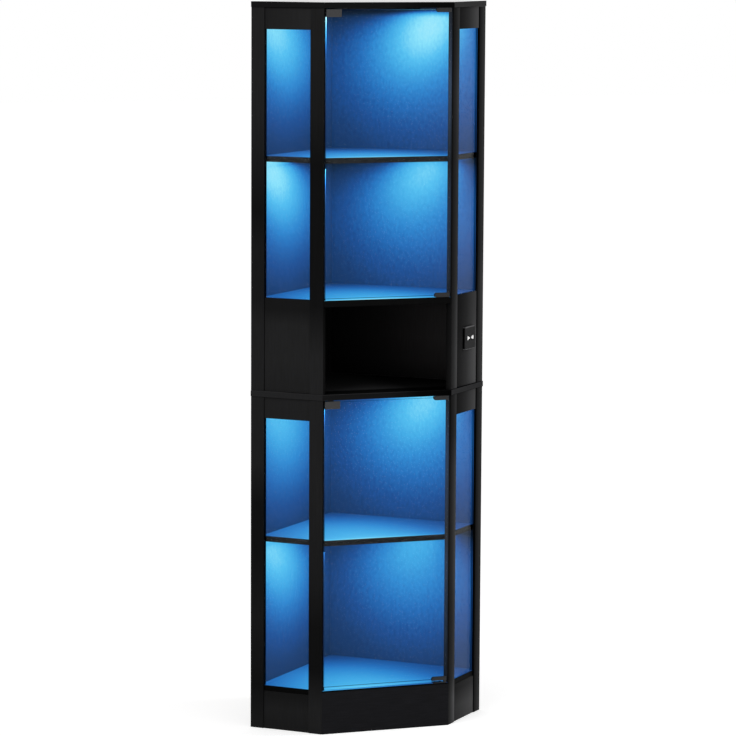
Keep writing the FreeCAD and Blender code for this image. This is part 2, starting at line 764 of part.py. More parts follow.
tab_edge = "wall_leg - tab_recess"
tab_start = "stile_width + shelf_ease"
tab_end = "post_start - shelf_ease"
left_half = (
    ("lining", "lining"), ("inner_leg", "lining"), ("inner_leg", tab_start), (tab_edge, tab_start),
    (tab_edge, tab_end), ("inner_leg", tab_end), ("inner_leg", "bottom_front"),
)
right_half = tuple((y, x) for x, y in reversed(left_half[1:]))
bottom = outline("bottom_board_board", CORNER, left_half + right_half, ("base_rail_top", "bottom_board_top"))
dress(bottom, "Chamfer", "arris")
keep_node("bottom_board", cut("bottom_board_cut", bottom, board_holes["bottom_board_top"]))

kick_corners = (
    ("-front_half", "0"), ("front_half", "0"),
    ("front_half - board", "board"), ("board - front_half", "board"),
)
kick = outline("kick_board_board", FRONT, kick_corners, ("0", "bottom_board_top"))
dress(kick, "Chamfer", "arris")
keep_node("kick_board", cut("kick_board_cut", kick, plate_holes["kick_board"]))


# Light bars: an extruded channel under each ceiling, with a tape of light chips in it

def light_bar(name, ceiling):
    """A channel open downwards and the tape on its web; chips stand in one row on the tape."""
    x = about("0", "light_length")
    y = about("light_setback", "light_width")
    z = (f"{ceiling} - light_height", ceiling)
    blank = box(f"{name}_blank", FRONT, x, y, z)
    inside_x = about("0", "light_length + 2 * overrun")
    inside_y = about("light_setback", "light_width - 2 * light_wall")
    inside_z = (f"{ceiling} - light_height - overrun", f"{ceiling} - light_wall")
    channel = cut(name, blank, [box(f"{name}_inside", FRONT, inside_x, inside_y, inside_z)])
    tape = doc.addObject("PartDesign::Body", f"{name}_tape")
    strip = tape.newObject("PartDesign::AdditiveBox", f"{name}_strip")
    tape_width = "light_width - 2 * light_wall - 2 * groove_ease"
    bind(strip, Length="light_length - 2 * tape_end_gap", Width=tape_width, Height="tape_thickness")
    doc.recompute()
    chip = tape.newObject("PartDesign::AdditiveBox", f"{name}_chip")
    bind(chip, Length="chip_length", Width="chip_width", Height="chip_height + tape_thickness / 2")
    row_start = "(light_length - chip_pitch * (chip_count - 1) - chip_length) / 2 - tape_end_gap"
    chip.setExpression(".Placement.Base.x", expression(row_start))
    chip.setExpression(".Placement.Base.y", expression(f"({tape_width} - chip_width) / 2"))
    chip.setExpression(".Placement.Base.z", expression("-chip_height"))
    doc.recompute()
    chips = tape.newObject("PartDesign::LinearPattern", f"{name}_chips")
    chips.Originals = [chip]
    row = next(item for item in tape.Origin.OriginFeatures if item.Role == "X_Axis")
    chips.Direction = (row, [""])
    bind(chips, Length="chip_pitch * (chip_count - 1)", Occurrences="chip_count")
    tape.Tip = chips
    start_x = "tape_end_gap - light_length / 2"
    start_y = f"light_setback - ({tape_width}) / 2"
    place(tape, FRONT, start_x, start_y, f"{ceiling} - light_wall - tape_thickness")
    return channel, tape


channels = []
tapes = []
for name, ceiling in (
    ("lower_bottom_light", "lower_shelf_top - board"), ("lower_top_light", "middle_underside"),
    ("upper_bottom_light", "upper_shelf_top - board"), ("upper_top_light", "top_underside"),
):
    channel, tape = light_bar(name, ceiling)
    channels.append(channel)
    tapes.append(tape)
keep_node("light_channels", gather("light_channels", channels))
keep_node("light_tapes", gather("light_tapes", tapes))


# Charger: a bevelled face plate outside the bay panel, its body behind, two port inserts

plate_y = ("charger_face", "rail_recess")
plate_body = block(
    "charger_plate_block", RIGHT, about("charger_from_wall", "charger_width"), plate_y,
    about("charger_level", "charger_height"),
)
dress(plate_body, "Fillet", "charger_round", Y_AXIS, lambda at: True)
doc.recompute()
rounded = plate_body.Tip
face = rounded.Shape.BoundBox.YMin
front_edges = []
for number, edge in enumerate(rounded.Shape.Edges, start=1):
    if edge.BoundBox.YMax - face < PARALLEL:
        front_edges.append(f"Edge{number}")
bevel = plate_body.newObject("PartDesign::Chamfer", "charger_plate_bevel")
bevel.Base = (rounded, front_edges)
bind(bevel, Size="charger_bevel")

port_pockets = []
ports = []
port_y = ("charger_face", "charger_face + port_depth")
for name, sign in (("front_port", "+"), ("rear_port", "-")):
    middle = f"charger_from_wall {sign} port_pitch / 2"
    port_x = about(middle, "port_width")
    port_z = about("charger_level", "port_height")
    pocket_x = about(middle, "port_width + 2 * port_ease")
    pocket_z = about("charger_level", "port_height + 2 * port_ease")
    pocket_y = ("charger_face - overrun", "charger_face + port_depth")
    port_pockets.append(box(f"{name}_pocket", RIGHT, pocket_x, pocket_y, pocket_z))
    insert = box(f"{name}_insert", RIGHT, port_x, port_y, port_z)
    socket_y = ("charger_face - overrun", "charger_face + socket_depth")
    socket_x = about(middle, "socket_width")
    socket_z = about("charger_level", "socket_height")
    socket = box(f"{name}_socket", RIGHT, socket_x, socket_y, socket_z)
    tongue_y = ("charger_face + socket_depth - tongue_depth", "charger_face + port_depth")
    tongue_z = ("charger_level", "charger_level + tongue_height")
    tongue = box(f"{name}_tongue", RIGHT, about(middle, "tongue_width"), tongue_y, tongue_z)
    ports.append(fuse(f"{name}_whole", [cut(name, insert, [socket]), tongue]))
keep_node("charger_plate", cut("charger_plate_cut", plate_body, port_pockets))
keep_node("charger_ports", gather("charger_ports", ports))

body_y = ("rail_recess", "rail_recess + charger_body_depth")
charger_body = block(
    "charger_body", RIGHT, about("charger_from_wall", "charger_body_width"), body_y,
    about("charger_level", "charger_body_height"),
)
dress(charger_body, "Chamfer", "arris")
keep_node("charger_body", charger_body)
gland_y = (body_y[1], f"{body_y[1]} + gland_length")
gland = rod(
    "charger_gland", RIGHT, "y", "gland_radius", "charger_from_wall", gland_y, "charger_level - gland_drop"
)
keep_node("charger_gland", gland)

# Small hardware, one name for each kind
for label, pieces in (
    ("dowels", dowels), ("cam_bolts", cam_bolts), ("cam_nuts", cam_nuts), ("shelf_pins", shelf_pins),
    ("panel_screws", panel_screws), ("hinge_plates", hinge_plates), ("hinge_plate_screws", plate_screws),
    ("latch_screws", latch_screws),
):
    keep_node(label, gather(label, pieces))

# Every object must be sound before anything is written
doc.recompute()
for item in doc.Objects:
    if "Invalid" in item.State or "Error" in item.State:
        raise RuntimeError(f"{item.Label} did not build: {item.State}")
for label, piece in nodes.items():
    if piece.Shape.isNull() or not piece.Shape.isValid() or not piece.Shape.Solids:
        raise RuntimeError(f"{label} has no sound shape")

os.makedirs("parts", exist_ok=True)
for label, piece in nodes.items():
    piece.Shape.exportStep(f"parts/{label}.step")
print(len(nodes), "sub-parts,", sum(len(piece.Shape.Solids) for piece in nodes.values()), "solids")
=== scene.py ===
import math

import bmesh
import bpy
import numpy as np
from mathutils import Matrix, Vector


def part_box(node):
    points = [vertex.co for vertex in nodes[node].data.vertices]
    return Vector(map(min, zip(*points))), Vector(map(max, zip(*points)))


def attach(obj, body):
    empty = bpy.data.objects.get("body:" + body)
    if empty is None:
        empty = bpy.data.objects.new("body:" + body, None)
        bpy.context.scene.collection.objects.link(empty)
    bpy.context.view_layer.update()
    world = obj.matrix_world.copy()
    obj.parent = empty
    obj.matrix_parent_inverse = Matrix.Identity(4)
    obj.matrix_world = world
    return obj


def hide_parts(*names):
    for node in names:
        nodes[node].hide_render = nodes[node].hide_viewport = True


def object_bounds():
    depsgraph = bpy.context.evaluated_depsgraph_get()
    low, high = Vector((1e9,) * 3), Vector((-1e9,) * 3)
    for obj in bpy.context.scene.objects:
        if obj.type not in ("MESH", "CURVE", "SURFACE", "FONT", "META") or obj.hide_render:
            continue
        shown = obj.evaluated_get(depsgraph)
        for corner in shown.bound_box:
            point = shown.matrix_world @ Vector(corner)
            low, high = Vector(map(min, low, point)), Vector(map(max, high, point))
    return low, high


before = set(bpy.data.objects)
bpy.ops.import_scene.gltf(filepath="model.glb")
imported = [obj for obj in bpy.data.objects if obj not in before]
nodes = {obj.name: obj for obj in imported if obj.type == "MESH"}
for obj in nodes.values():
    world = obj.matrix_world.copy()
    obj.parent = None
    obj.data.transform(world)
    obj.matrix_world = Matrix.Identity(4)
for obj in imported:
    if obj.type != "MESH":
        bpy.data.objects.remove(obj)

cad_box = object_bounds()

# Carcass boards: stiles against the walls, posts at the front corners, rails, bay panels and slabs.
# Each is particle board in satin black melamine, cut square, its edges banded and lightly broken.
# Dowels and cam bolts hold them, so only hairline joints show.

MM = 0.001


def linear(code):
    """An sRGB hex colour as linear light: c/12.92 below 0.04045, ((c + 0.055)/1.055)^2.4 above."""
    parts = [int(code[place:place + 2], 16) / 255 for place in (1, 3, 5)]
    light = [c / 12.92 if c <= 0.04045 else ((c + 0.055) / 1.055) ** 2.4 for c in parts]
    return (*light, 1.0)


def add(tree, kind, links=None, stops=(), **settings):
    """Adds one shader node with its settings; inputs are linked or set, a ramp gets its stops."""
    node = tree.nodes.new(kind)
    for name, value in settings.items():
        setattr(node, name, value)
    for name, value in (links or {}).items():
        if isinstance(value, bpy.types.NodeSocket):
            tree.links.new(value, node.inputs[name])
        else:
            node.inputs[name].default_value = value
    for position, _ in stops[1:-1]:
        node.color_ramp.elements.new(position)
    for index, (position, code) in enumerate(stops):
        node.color_ramp.elements[index].position = position
        node.color_ramp.elements[index].color = linear(code)
    return node


def new_material(name, **constants):
    """A node material with one principled shader; constants go on the shader's own sockets."""
    material = bpy.data.materials.new(name)
    material.use_nodes = True
    tree = material.node_tree
    tree.nodes.clear()
    sockets = {
        socket.replace("_", " ").title().replace("Ior", "IOR"): value
        for socket, value in constants.items()
    }
    shader = add(tree, "ShaderNodeBsdfPrincipled", sockets)
    add(tree, "ShaderNodeOutputMaterial", {"Surface": shader.outputs["BSDF"]})
    return material, tree, shader.inputs


def finish_nodes(material, *names):
    """Gives CAD nodes a material in their only slot."""
    for name in names:
        slots = nodes[name].data.materials
        slots.clear()
        slots.append(material)


def facing(tree, direction, **limits):
    """How far a surface of a piece looks one way.

    It is 0 under a cosine of 0.8 and 1 over 0.9, or between other limits, and turns with the piece.
    """
    normal = add(tree, "ShaderNodeTexCoord").outputs["Normal"]
    both = {0: normal, 1: direction}
    cosine = add(tree, "ShaderNodeVectorMath", both, operation="DOT_PRODUCT").outputs["Value"]
    bounds = {"From Min": 0.8, "From Max": 0.9, **limits}
    return add(tree, "ShaderNodeMapRange", {"Value": cosine, **bounds}).outputs["Result"]


def tint_faces(tree, colour, faces):
    """Multiplies a colour by each factor on the faces that look its way."""
    for direction, factor in faces:
        amount = facing(tree, direction, **{"To Min": 1.0, "To Max": factor})
        scaled = {0: colour, "Scale": amount}
        colour = add(tree, "ShaderNodeVectorMath", scaled, operation="SCALE").outputs["Vector"]
    return colour


# Fine open grain pressed into the melamine: streaks a few millimetres wide and far longer.
STREAK_WIDTH, STREAK_LENGTH = 3 * MM, 45 * MM
GRAIN_BUMP, GRAIN_DEPTH = 0.04, 0.3 * MM
# Roughness of the smoothest and the roughest grain.
SATIN = (0.44, 0.54)
WHITE = (1.0, 1.0, 1.0)


def melamine(name, along, dark, pale, gloss=0.03, satin=SATIN, fades=(), faces=()):
    """Satin melamine whose pressed grain runs along one axis; it gives a soft broad gloss.

    Each fade (axis, from, to, greys, direction) multiplies the colour by greys along an axis, all over
    or only on the faces that look in its direction.
    """
    material, tree, inputs = new_material(name, specular_ior_level=gloss)
    place = add(tree, "ShaderNodeTexCoord").outputs["Object"]
    scale = [1 / STREAK_WIDTH] * 3
    scale["XYZ".index(along)] = 1 / STREAK_LENGTH
    stretched = add(tree, "ShaderNodeMapping", {"Vector": place, "Scale": scale}).outputs["Vector"]
    grain = {"Vector": stretched, "Scale": 1.0, "Detail": 4.0}
    grain = add(tree, "ShaderNodeTexNoise", grain).outputs["Fac"]
    tones = ((0.3, dark), (0.72, pale))
    colour = add(tree, "ShaderNodeValToRGB", {"Fac": grain}, stops=tones).outputs["Color"]
    for axis, first, last, greys, *direction in fades:
        across = add(tree, "ShaderNodeSeparateXYZ", {"Vector": place}).outputs[axis]
        share = {"Value": across, "From Min": first, "From Max": last}
        share = add(tree, "ShaderNodeMapRange", share).outputs["Result"]
        amount = add(tree, "ShaderNodeValToRGB", {"Fac": share}, stops=greys).outputs["Color"]
        if direction:
            less = {0: amount, 1: WHITE}
            less = add(tree, "ShaderNodeVectorMath", less, operation="SUBTRACT").outputs["Vector"]
            held = {0: less, 1: facing(tree, *direction), 2: WHITE}
            amount = add(tree, "ShaderNodeVectorMath", held, operation="MULTIPLY_ADD").outputs["Vector"]
        shaded = {0: colour, 1: amount}
        colour = add(tree, "ShaderNodeVectorMath", shaded, operation="MULTIPLY").outputs["Vector"]
    sheen = {"Value": grain, "From Min": 0.3, "From Max": 0.7, "To Min": satin[0], "To Max": satin[1]}
    sheen = add(tree, "ShaderNodeMapRange", sheen).outputs["Result"]
    bump = add(tree, "ShaderNodeBump", {"Height": grain, "Strength": GRAIN_BUMP, "Distance": GRAIN_DEPTH})
    tree.links.new(tint_faces(tree, colour, faces), inputs["Base Color"])
    tree.links.new(sheen, inputs["Roughness"])
    tree.links.new(bump.outputs["Normal"], inputs["Normal"])
    return material, tree, inputs


FRONT = (0.0, -1.0, 0.0)
UP = (0.0, 0.0, 1.0)
HALF_RIGHT = math.sqrt(0.5)
# The way the front ends of the posts look: towards the middle of the doorway.
LEFT_END = (HALF_RIGHT, -HALF_RIGHT, 0.0)
RIGHT_END = (-HALF_RIGHT, -HALF_RIGHT, 0.0)
# The outer faces of the left and right sides look the same two ways, from the other side.
LEFT_OUT, RIGHT_OUT = RIGHT_END, LEFT_END


def side_board(board, tones, across=None, up=None, faces=(), gloss=0.03):
    """Melamine of one board, shaded by greys across it and up it, from its lower to its higher end."""
    low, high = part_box(board)
    fades = [("X", low[0], high[0], across)] if across else []
    if up:
        fades.append(("Z", low[2], high[2], up))
    parts = melamine(f"black_melamine_{board}", "Z", *tones, gloss=gloss, fades=fades, faces=faces)
    finish_nodes(parts[0], board)
    return parts


# The left side is plain satin black, with painted shade: its boards are darker in the stretches that less
# light reaches, the upper top rail towards the stile, and the faces of the others that look towards the
# middle of the doorway.
LEFT_TONES = ("#222222", "#262627")
LEFT_GLOSS = 0.018
LEFT_UP_SHADE = {
    "upper_left_stile": (
        (0.17, "#EEEEEE"), (0.24, "#C2C2C2"), (0.38, "#C2C2C2"), (0.47, "#929292"), (0.72, "#E6E6E6"),
    ),
    "upper_left_post": (
        (0.1, "#FCFCFC"), (0.23, "#949494"), (0.6, "#888888"), (0.73, "#C0C0C0"), (1.0, "#D8D8D8"),
    ),
    "lower_left_stile": (
        (0.02, "#D8D8D8"), (0.13, "#949494"), (0.34, "#C8C8C8"),
        (0.55, "#949494"), (0.68, "#969696"), (0.8, "#EAEAEA"),
    ),
    "lower_left_post": (
        (0.08, "#F8F8F8"), (0.19, "#8C8C8C"), (0.32, "#929292"), (0.46, "#D4D4D4"), (0.75, "#F2F2F2"),
    ),
    "left_bay_panel": ((0.1, "#F0F0F0"), (0.35, "#FFFFFF"), (0.72, "#F8F8F8"), (0.88, "#BABABA")),
    "left_base_rail": ((0.2, "#E6E6E6"), (0.55, "#EDEDED"), (0.9, "#C2C2C2")),
    "lower_left_top_rail": ((0.0, "#F2F2F2"), (1.0, "#F8F8F8")),
}
for board, greys in LEFT_UP_SHADE.items():
    side_board(board, LEFT_TONES, up=greys, faces=((LEFT_END, 0.3),), gloss=LEFT_GLOSS)
side_board("upper_left_top_rail", LEFT_TONES, across=((0.0, "#CACACA"), (1.0, "#FAFAFA")))

# The right side is seen aslant and shows greyer towards the wall, where it catches more light. That light
# is painted:
# its tones are pale, and greys across and up each board darken them, most at its front end, where its
# neighbour shades it.
RIGHT_TONES = ("#636364", "#676768")
RIGHT_GLOSS = 0.003
RAIL_ACROSS = (
    (0.1, "#242424"), (0.15, "#505050"), (0.34, "#666666"),
    (0.55, "#838383"), (0.75, "#ACACAC"), (1.0, "#D4D4D4"),
)
BASE_ACROSS = ((0.0, "#787878"), (0.34, "#9C9C9C"), (0.75, "#BCBCBC"), (1.0, "#D2D2D2"))
POST_ACROSS = ((0.0, "#454545"), (0.39, "#787878"), (0.65, "#A4A4A4"), (1.0, "#E7E7E7"))
STILE_ACROSS = ((0.15, "#1D1D1D"), (0.4, "#616161"), (0.64, "#848484"), (1.0, "#A6A6A6"))
# Painted light and shade: greys across and up each board.
RIGHT_PAINTED_LIGHT = {
    "upper_right_top_rail": (RAIL_ACROSS, ((0.0, "#E7E7E7"), (1.0, "#E7E7E7"))),
    "lower_right_top_rail": (RAIL_ACROSS, ((0.0, "#E7E7E7"), (1.0, "#E0E0E0"))),
    "right_bay_panel": (
        RAIL_ACROSS,
        ((0.35, "#FFFFFF"), (0.52, "#F9F9F9"), (0.71, "#D4D4D4"), (0.9, "#C8C8C8")),
    ),
    "right_base_rail": (BASE_ACROSS, ((0.4, "#FFFFFF"), (0.85, "#B0B0B0"))),
    "upper_right_post": (
        POST_ACROSS,
        ((0.1, "#D2D2D2"), (0.28, "#A8A8A8"), (0.62, "#A0A0A0"), (0.78, "#BCBCBC"), (0.93, "#9B9B9B")),
    ),
    "lower_right_post": (
        POST_ACROSS,
        (
            (0.08, "#FFFFFF"), (0.14, "#B8B8B8"), (0.36, "#B6B6B6"),
            (0.46, "#CCCCCC"), (0.78, "#CCCCCC"), (0.88, "#9B9B9B"),
        ),
    ),
    "upper_right_stile": (STILE_ACROSS, ((0.28, "#FFFFFF"), (0.36, "#D7D7D7"))),
    "lower_right_stile": (STILE_ACROSS, ((0.03, "#FFFFFF"), (0.1, "#D7D7D7"))),
}
right_side = {}
for board, (across, up) in RIGHT_PAINTED_LIGHT.items():
    right_side[board] = side_board(board, RIGHT_TONES, across, up, gloss=RIGHT_GLOSS)

# Painted shade: the slabs are darker to the right of the middle, and the middle slab's top also in a band
# behind its front edge. The middle slab is toned paler, as painted light on its top in the open bay.
SLAB_ACROSS = ((0.5, "#FFFFFF"), (0.57, "#D8D8D8"), (0.64, "#909090"), (0.75, "#757575"))
# Depth and greys of the painted shade behind the middle slab's front edge.
FRONT_SHADE_DEPTH = 80 * MM
FRONT_SHADE_GREYS = ((0.02, "#FFFFFF"), (0.04, "#606060"), (0.7, "#606060"), (1.0, "#FFFFFF"))
slab_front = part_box("middle_slab")[0][1]
front_shade = ("Y", slab_front, slab_front + FRONT_SHADE_DEPTH, FRONT_SHADE_GREYS, UP)
# The top of the highest slab is the smoothest: seen almost edge-on it mirrors the white room.
POLISHED = (0.06, 0.1)
# Painted shade on the middle slab's front and left faces; painted light on the right outer faces of both
# slabs.
TOP_EDGES = ((RIGHT_OUT, 3.0),)
MIDDLE_EDGES = ((FRONT, 0.33), (LEFT_OUT, 0.6), (RIGHT_OUT, 5.0))
for board, tones, gloss, satin, more, edges in (
    ("top_slab", ("#111111", "#141415"), 0.03, POLISHED, (), TOP_EDGES),
    ("middle_slab", ("#323233", "#373738"), 0.0, SATIN, (front_shade,), MIDDLE_EDGES),
):
    low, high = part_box(board)
    fades = (("X", low[0], high[0], SLAB_ACROSS), *more)
    slab = melamine(f"black_melamine_{board}", "X", *tones, gloss, satin, fades, edges)[0]
    finish_nodes(slab, board)

# Shelves and bottom board: the same board, lit from above by the light bar of their compartment.
# Their tops shine blue, most towards the front edge, where the light grazes less.
# The shelves lie on pins and the bottom board on the base rails; screws from behind hold all four.

# The back corner's place, in millimetres.
back_corner = cad_box[1][1] / MM
# Colour of the lit laminate from hardly any light to the pale blue right under a bar.
GLOW_STOPS = (
    (0.0, "#070C19"), (0.092, "#14263C"), (0.163, "#1B3E71"), (0.203, "#1E5094"), (0.256, "#266EB9"),
    (0.313, "#318BD2"), (0.409, "#44ABE6"), (0.515, "#57C2F2"), (0.692, "#8AE2FC"), (0.862, "#AAEEFF"),
    (1.0, "#C0F5FF"),
)
# The level of light at the ramp's end, and the level under which nothing is lit.
GLOW_FULL, GLOW_LEAST = 6.5, 0.01
# Limits of the cosine for a lit face, so that its broken edges stay dark.
LIT_FACE = {"From Min": 0.9, "From Max": 0.91}


def shine(tree, inputs, level, direction, strength=1.0):
    """Colours a surface by the level of light that reaches it, on the outer faces that look one way."""
    share = add(tree, "ShaderNodeMath", {0: level, 1: 1 / GLOW_FULL}, operation="MULTIPLY").outputs[0]
    colour = add(tree, "ShaderNodeValToRGB", {"Fac": share}, stops=GLOW_STOPS).outputs["Color"]
    lit = add(tree, "ShaderNodeMath", {0: level, 1: GLOW_LEAST}, operation="GREATER_THAN").outputs[0]
    seen = {0: lit, 1: facing(tree, direction, **LIT_FACE)}
    seen = add(tree, "ShaderNodeMath", seen, operation="MULTIPLY").outputs[0]
    outer = {0: seen, 1: add(tree, "ShaderNodeNewGeometry").outputs["Backfacing"]}
    outer = add(tree, "ShaderNodeMath", outer, operation="SUBTRACT", use_clamp=True).outputs[0]
    power = add(tree, "ShaderNodeMath", {0: outer, 1: strength}, operation="MULTIPLY").outputs[0]
    tree.links.new(colour, inputs["Emission Color"])
    tree.links.new(power, inputs["Emission Strength"])


# Half width of the light on a shelf and depth of the rim, in millimetres, and the rise per millimetre.
SHELF_BELL, RIM_DEPTH, SHELF_RISE = 150, 12, 0.0053
# The light at the back of a shelf, with a soft mottling.
MOTTLE_SIZE = 8.3 * MM
SHELF_LEAST, SHELF_MOTTLE = 0.96, 0.14


def lit_top(board, aside, start, rim, dark, pale):
    """Melamine whose upper face shines: level = least + b (rise F + b rim exp(-d/depth)).

    b = exp(-(x/bell)^2 / 2), F is the distance in front of a line that starts some way off the back
    corner, x that from a line aside to the left of the middle and d that from the front edge, in
    millimetres. The rim is light that the door's glass sends back.
    """
    material, tree, inputs = melamine(f"black_melamine_{board}", "X", dark, pale, gloss=0.01)
    place = add(tree, "ShaderNodeTexCoord").outputs["Object"]
    moved = {
        "Vector": place,
        "Scale": (1 / MM / SHELF_BELL, -1 / MM, 0.0),
        "Location": (aside / SHELF_BELL, back_corner - start, 0.0),
    }
    moved = add(tree, "ShaderNodeMapping", moved).outputs["Vector"]
    parts = add(tree, "ShaderNodeSeparateXYZ", {"Vector": moved}).outputs
    square = {0: parts["X"], 1: parts["X"]}
    square = add(tree, "ShaderNodeMath", square, operation="MULTIPLY").outputs[0]
    halved = add(tree, "ShaderNodeMath", {0: square, 1: -0.5}, operation="MULTIPLY").outputs[0]
    bell = add(tree, "ShaderNodeMath", {0: halved}, operation="EXPONENT").outputs[0]
    rise = add(tree, "ShaderNodeMath", {0: parts["Y"], 1: SHELF_RISE}, operation="MULTIPLY").outputs[0]
    mottle = {"Vector": place, "Scale": 1 / MOTTLE_SIZE, "Detail": 2.0}
    mottle = add(tree, "ShaderNodeTexNoise", mottle).outputs["Fac"]
    least = {0: mottle, 1: SHELF_MOTTLE, 2: SHELF_LEAST}
    least = add(tree, "ShaderNodeMath", least, operation="MULTIPLY_ADD").outputs[0]
    inward = add(tree, "ShaderNodeSeparateXYZ", {"Vector": place}).outputs["Y"]
    depth = RIM_DEPTH * MM
    near = {0: inward, 1: -1 / depth, 2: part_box(board)[0][1] / depth}
    near = add(tree, "ShaderNodeMath", near, operation="MULTIPLY_ADD").outputs[0]
    near = add(tree, "ShaderNodeMath", {0: near}, operation="EXPONENT").outputs[0]
    near = add(tree, "ShaderNodeMath", {0: near, 1: rim}, operation="MULTIPLY").outputs[0]
    front = {0: near, 1: bell, 2: rise}
    front = add(tree, "ShaderNodeMath", front, operation="MULTIPLY_ADD").outputs[0]
    level = {0: front, 1: bell, 2: least}
    level = add(tree, "ShaderNodeMath", level, operation="MULTIPLY_ADD").outputs[0]
    shine(tree, inputs, level, UP)
    return material


# How far aside and forward the light starts, the rim's level and the tones of each board.
# The fixed shelf and the bottom board are toned darker, as painted shade on their edges, which lie in
# shadow.
for board, *values in (
    ("upper_shelf", 40, 86, 2.8, "#282828", "#2B2B2C"),
    ("fixed_shelf", 40, 66, 2.6, "#0D0D0D", "#101010"),
    ("lower_shelf", 58, 30, 1.7, "#282828", "#2B2B2C"),
    ("bottom_board", 58, 34, 0.85, "#070707", "#0A0A0A"),
):
    finish_nodes(lit_top(board, *values), board)

# Kick board: the plinth under the lower door, its top edge lit from the compartment above it.
# It is the same melamine board, mitred at both ends, and dark where the door's foot shades it.

KICK_SHADE = 5 * MM
# Light on the left end of the top edge; the right end gets half.
KICK_LIGHT = 2.6
low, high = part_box("kick_board")
shadow = ("Z", high[2] - KICK_SHADE, high[2], ((0.0, "#FFFFFF"), (0.5, "#404040")))
kick, tree, inputs = melamine("black_melamine_kick", "X", "#18181A", "#1F1F22", fades=(shadow,))
place = add(tree, "ShaderNodeTexCoord").outputs["Object"]
across = add(tree, "ShaderNodeSeparateXYZ", {"Vector": place}).outputs["X"]
fall = {"From Min": low[0], "From Max": high[0], "To Min": KICK_LIGHT, "To Max": KICK_LIGHT / 2}
fall = add(tree, "ShaderNodeMapRange", {"Value": across, **fall}).outputs["Result"]
shine(tree, inputs, fall, UP)
finish_nodes(kick, "kick_board")

# Back panels: thin black hardboard in the grooves of the stiles, screwed to the boards from behind.
# Inside the four glazed compartments each one shows a scallop of blue light under the bar's end.
# A raw batten stands behind the back corner of each unit, and both of its panels are glued to it.

# Each bar as it shows on a panel: side, half length, setback, weight, hang, slope and decay.
BARS = {
    "left": (-1.0, 81.0, 416.0, 0.70, 16.0, 0.38, 1.566),
    "right": (1.0, 53.0, 343.0, 0.836, 12.7, 0.46, 1.445),
}
# The pool's place along the panel, its width, height and lean.
POOLS = {"left": (398.0, 108.0, 61.0, -0.66), "right": (308.0, 52.5, 83.0, 0.69)}
# Wash, pool, the pool's drop under the ceiling and the veil, for a unit's compartments from the top.
GAINS = {
    ("left", "upper"): ((12.0, 3.0, 10.0, 0.0), (11.25, 4.6, -22.0, 0.0)),
    ("left", "lower"): ((12.2, 1.9, -12.5, 0.0), (11.1, 3.2, -18.0, 0.0)),
    ("right", "upper"): ((6.5, 3.45, 25.0, 32.0), (6.05, 2.85, -11.0, 0.0)),
    ("right", "lower"): ((6.3, 2.5, 5.5, 0.0), (5.9, 2.1, -36.0, 0.0)),
}
# A wash of 1 is this many level units at one millimetre.
WASH_UNIT = 1000.0
# The least drop under a bar, in millimetres, and a width so great that its axis doesn't count.
LEAST_DROP, ENDLESS = 0.5, 1e6


def rooms(unit):
    """Floor and ceiling heights of the two glazed compartments of a unit, from the top."""
    boards = {
        "upper": ("top_slab", "upper_shelf", "fixed_shelf"),
        "lower": ("middle_slab", "lower_shelf", "bottom_board"),
    }[unit]
    return [(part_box(floor)[1][2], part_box(roof)[0][2]) for roof, floor in zip(boards, boards[1:])]


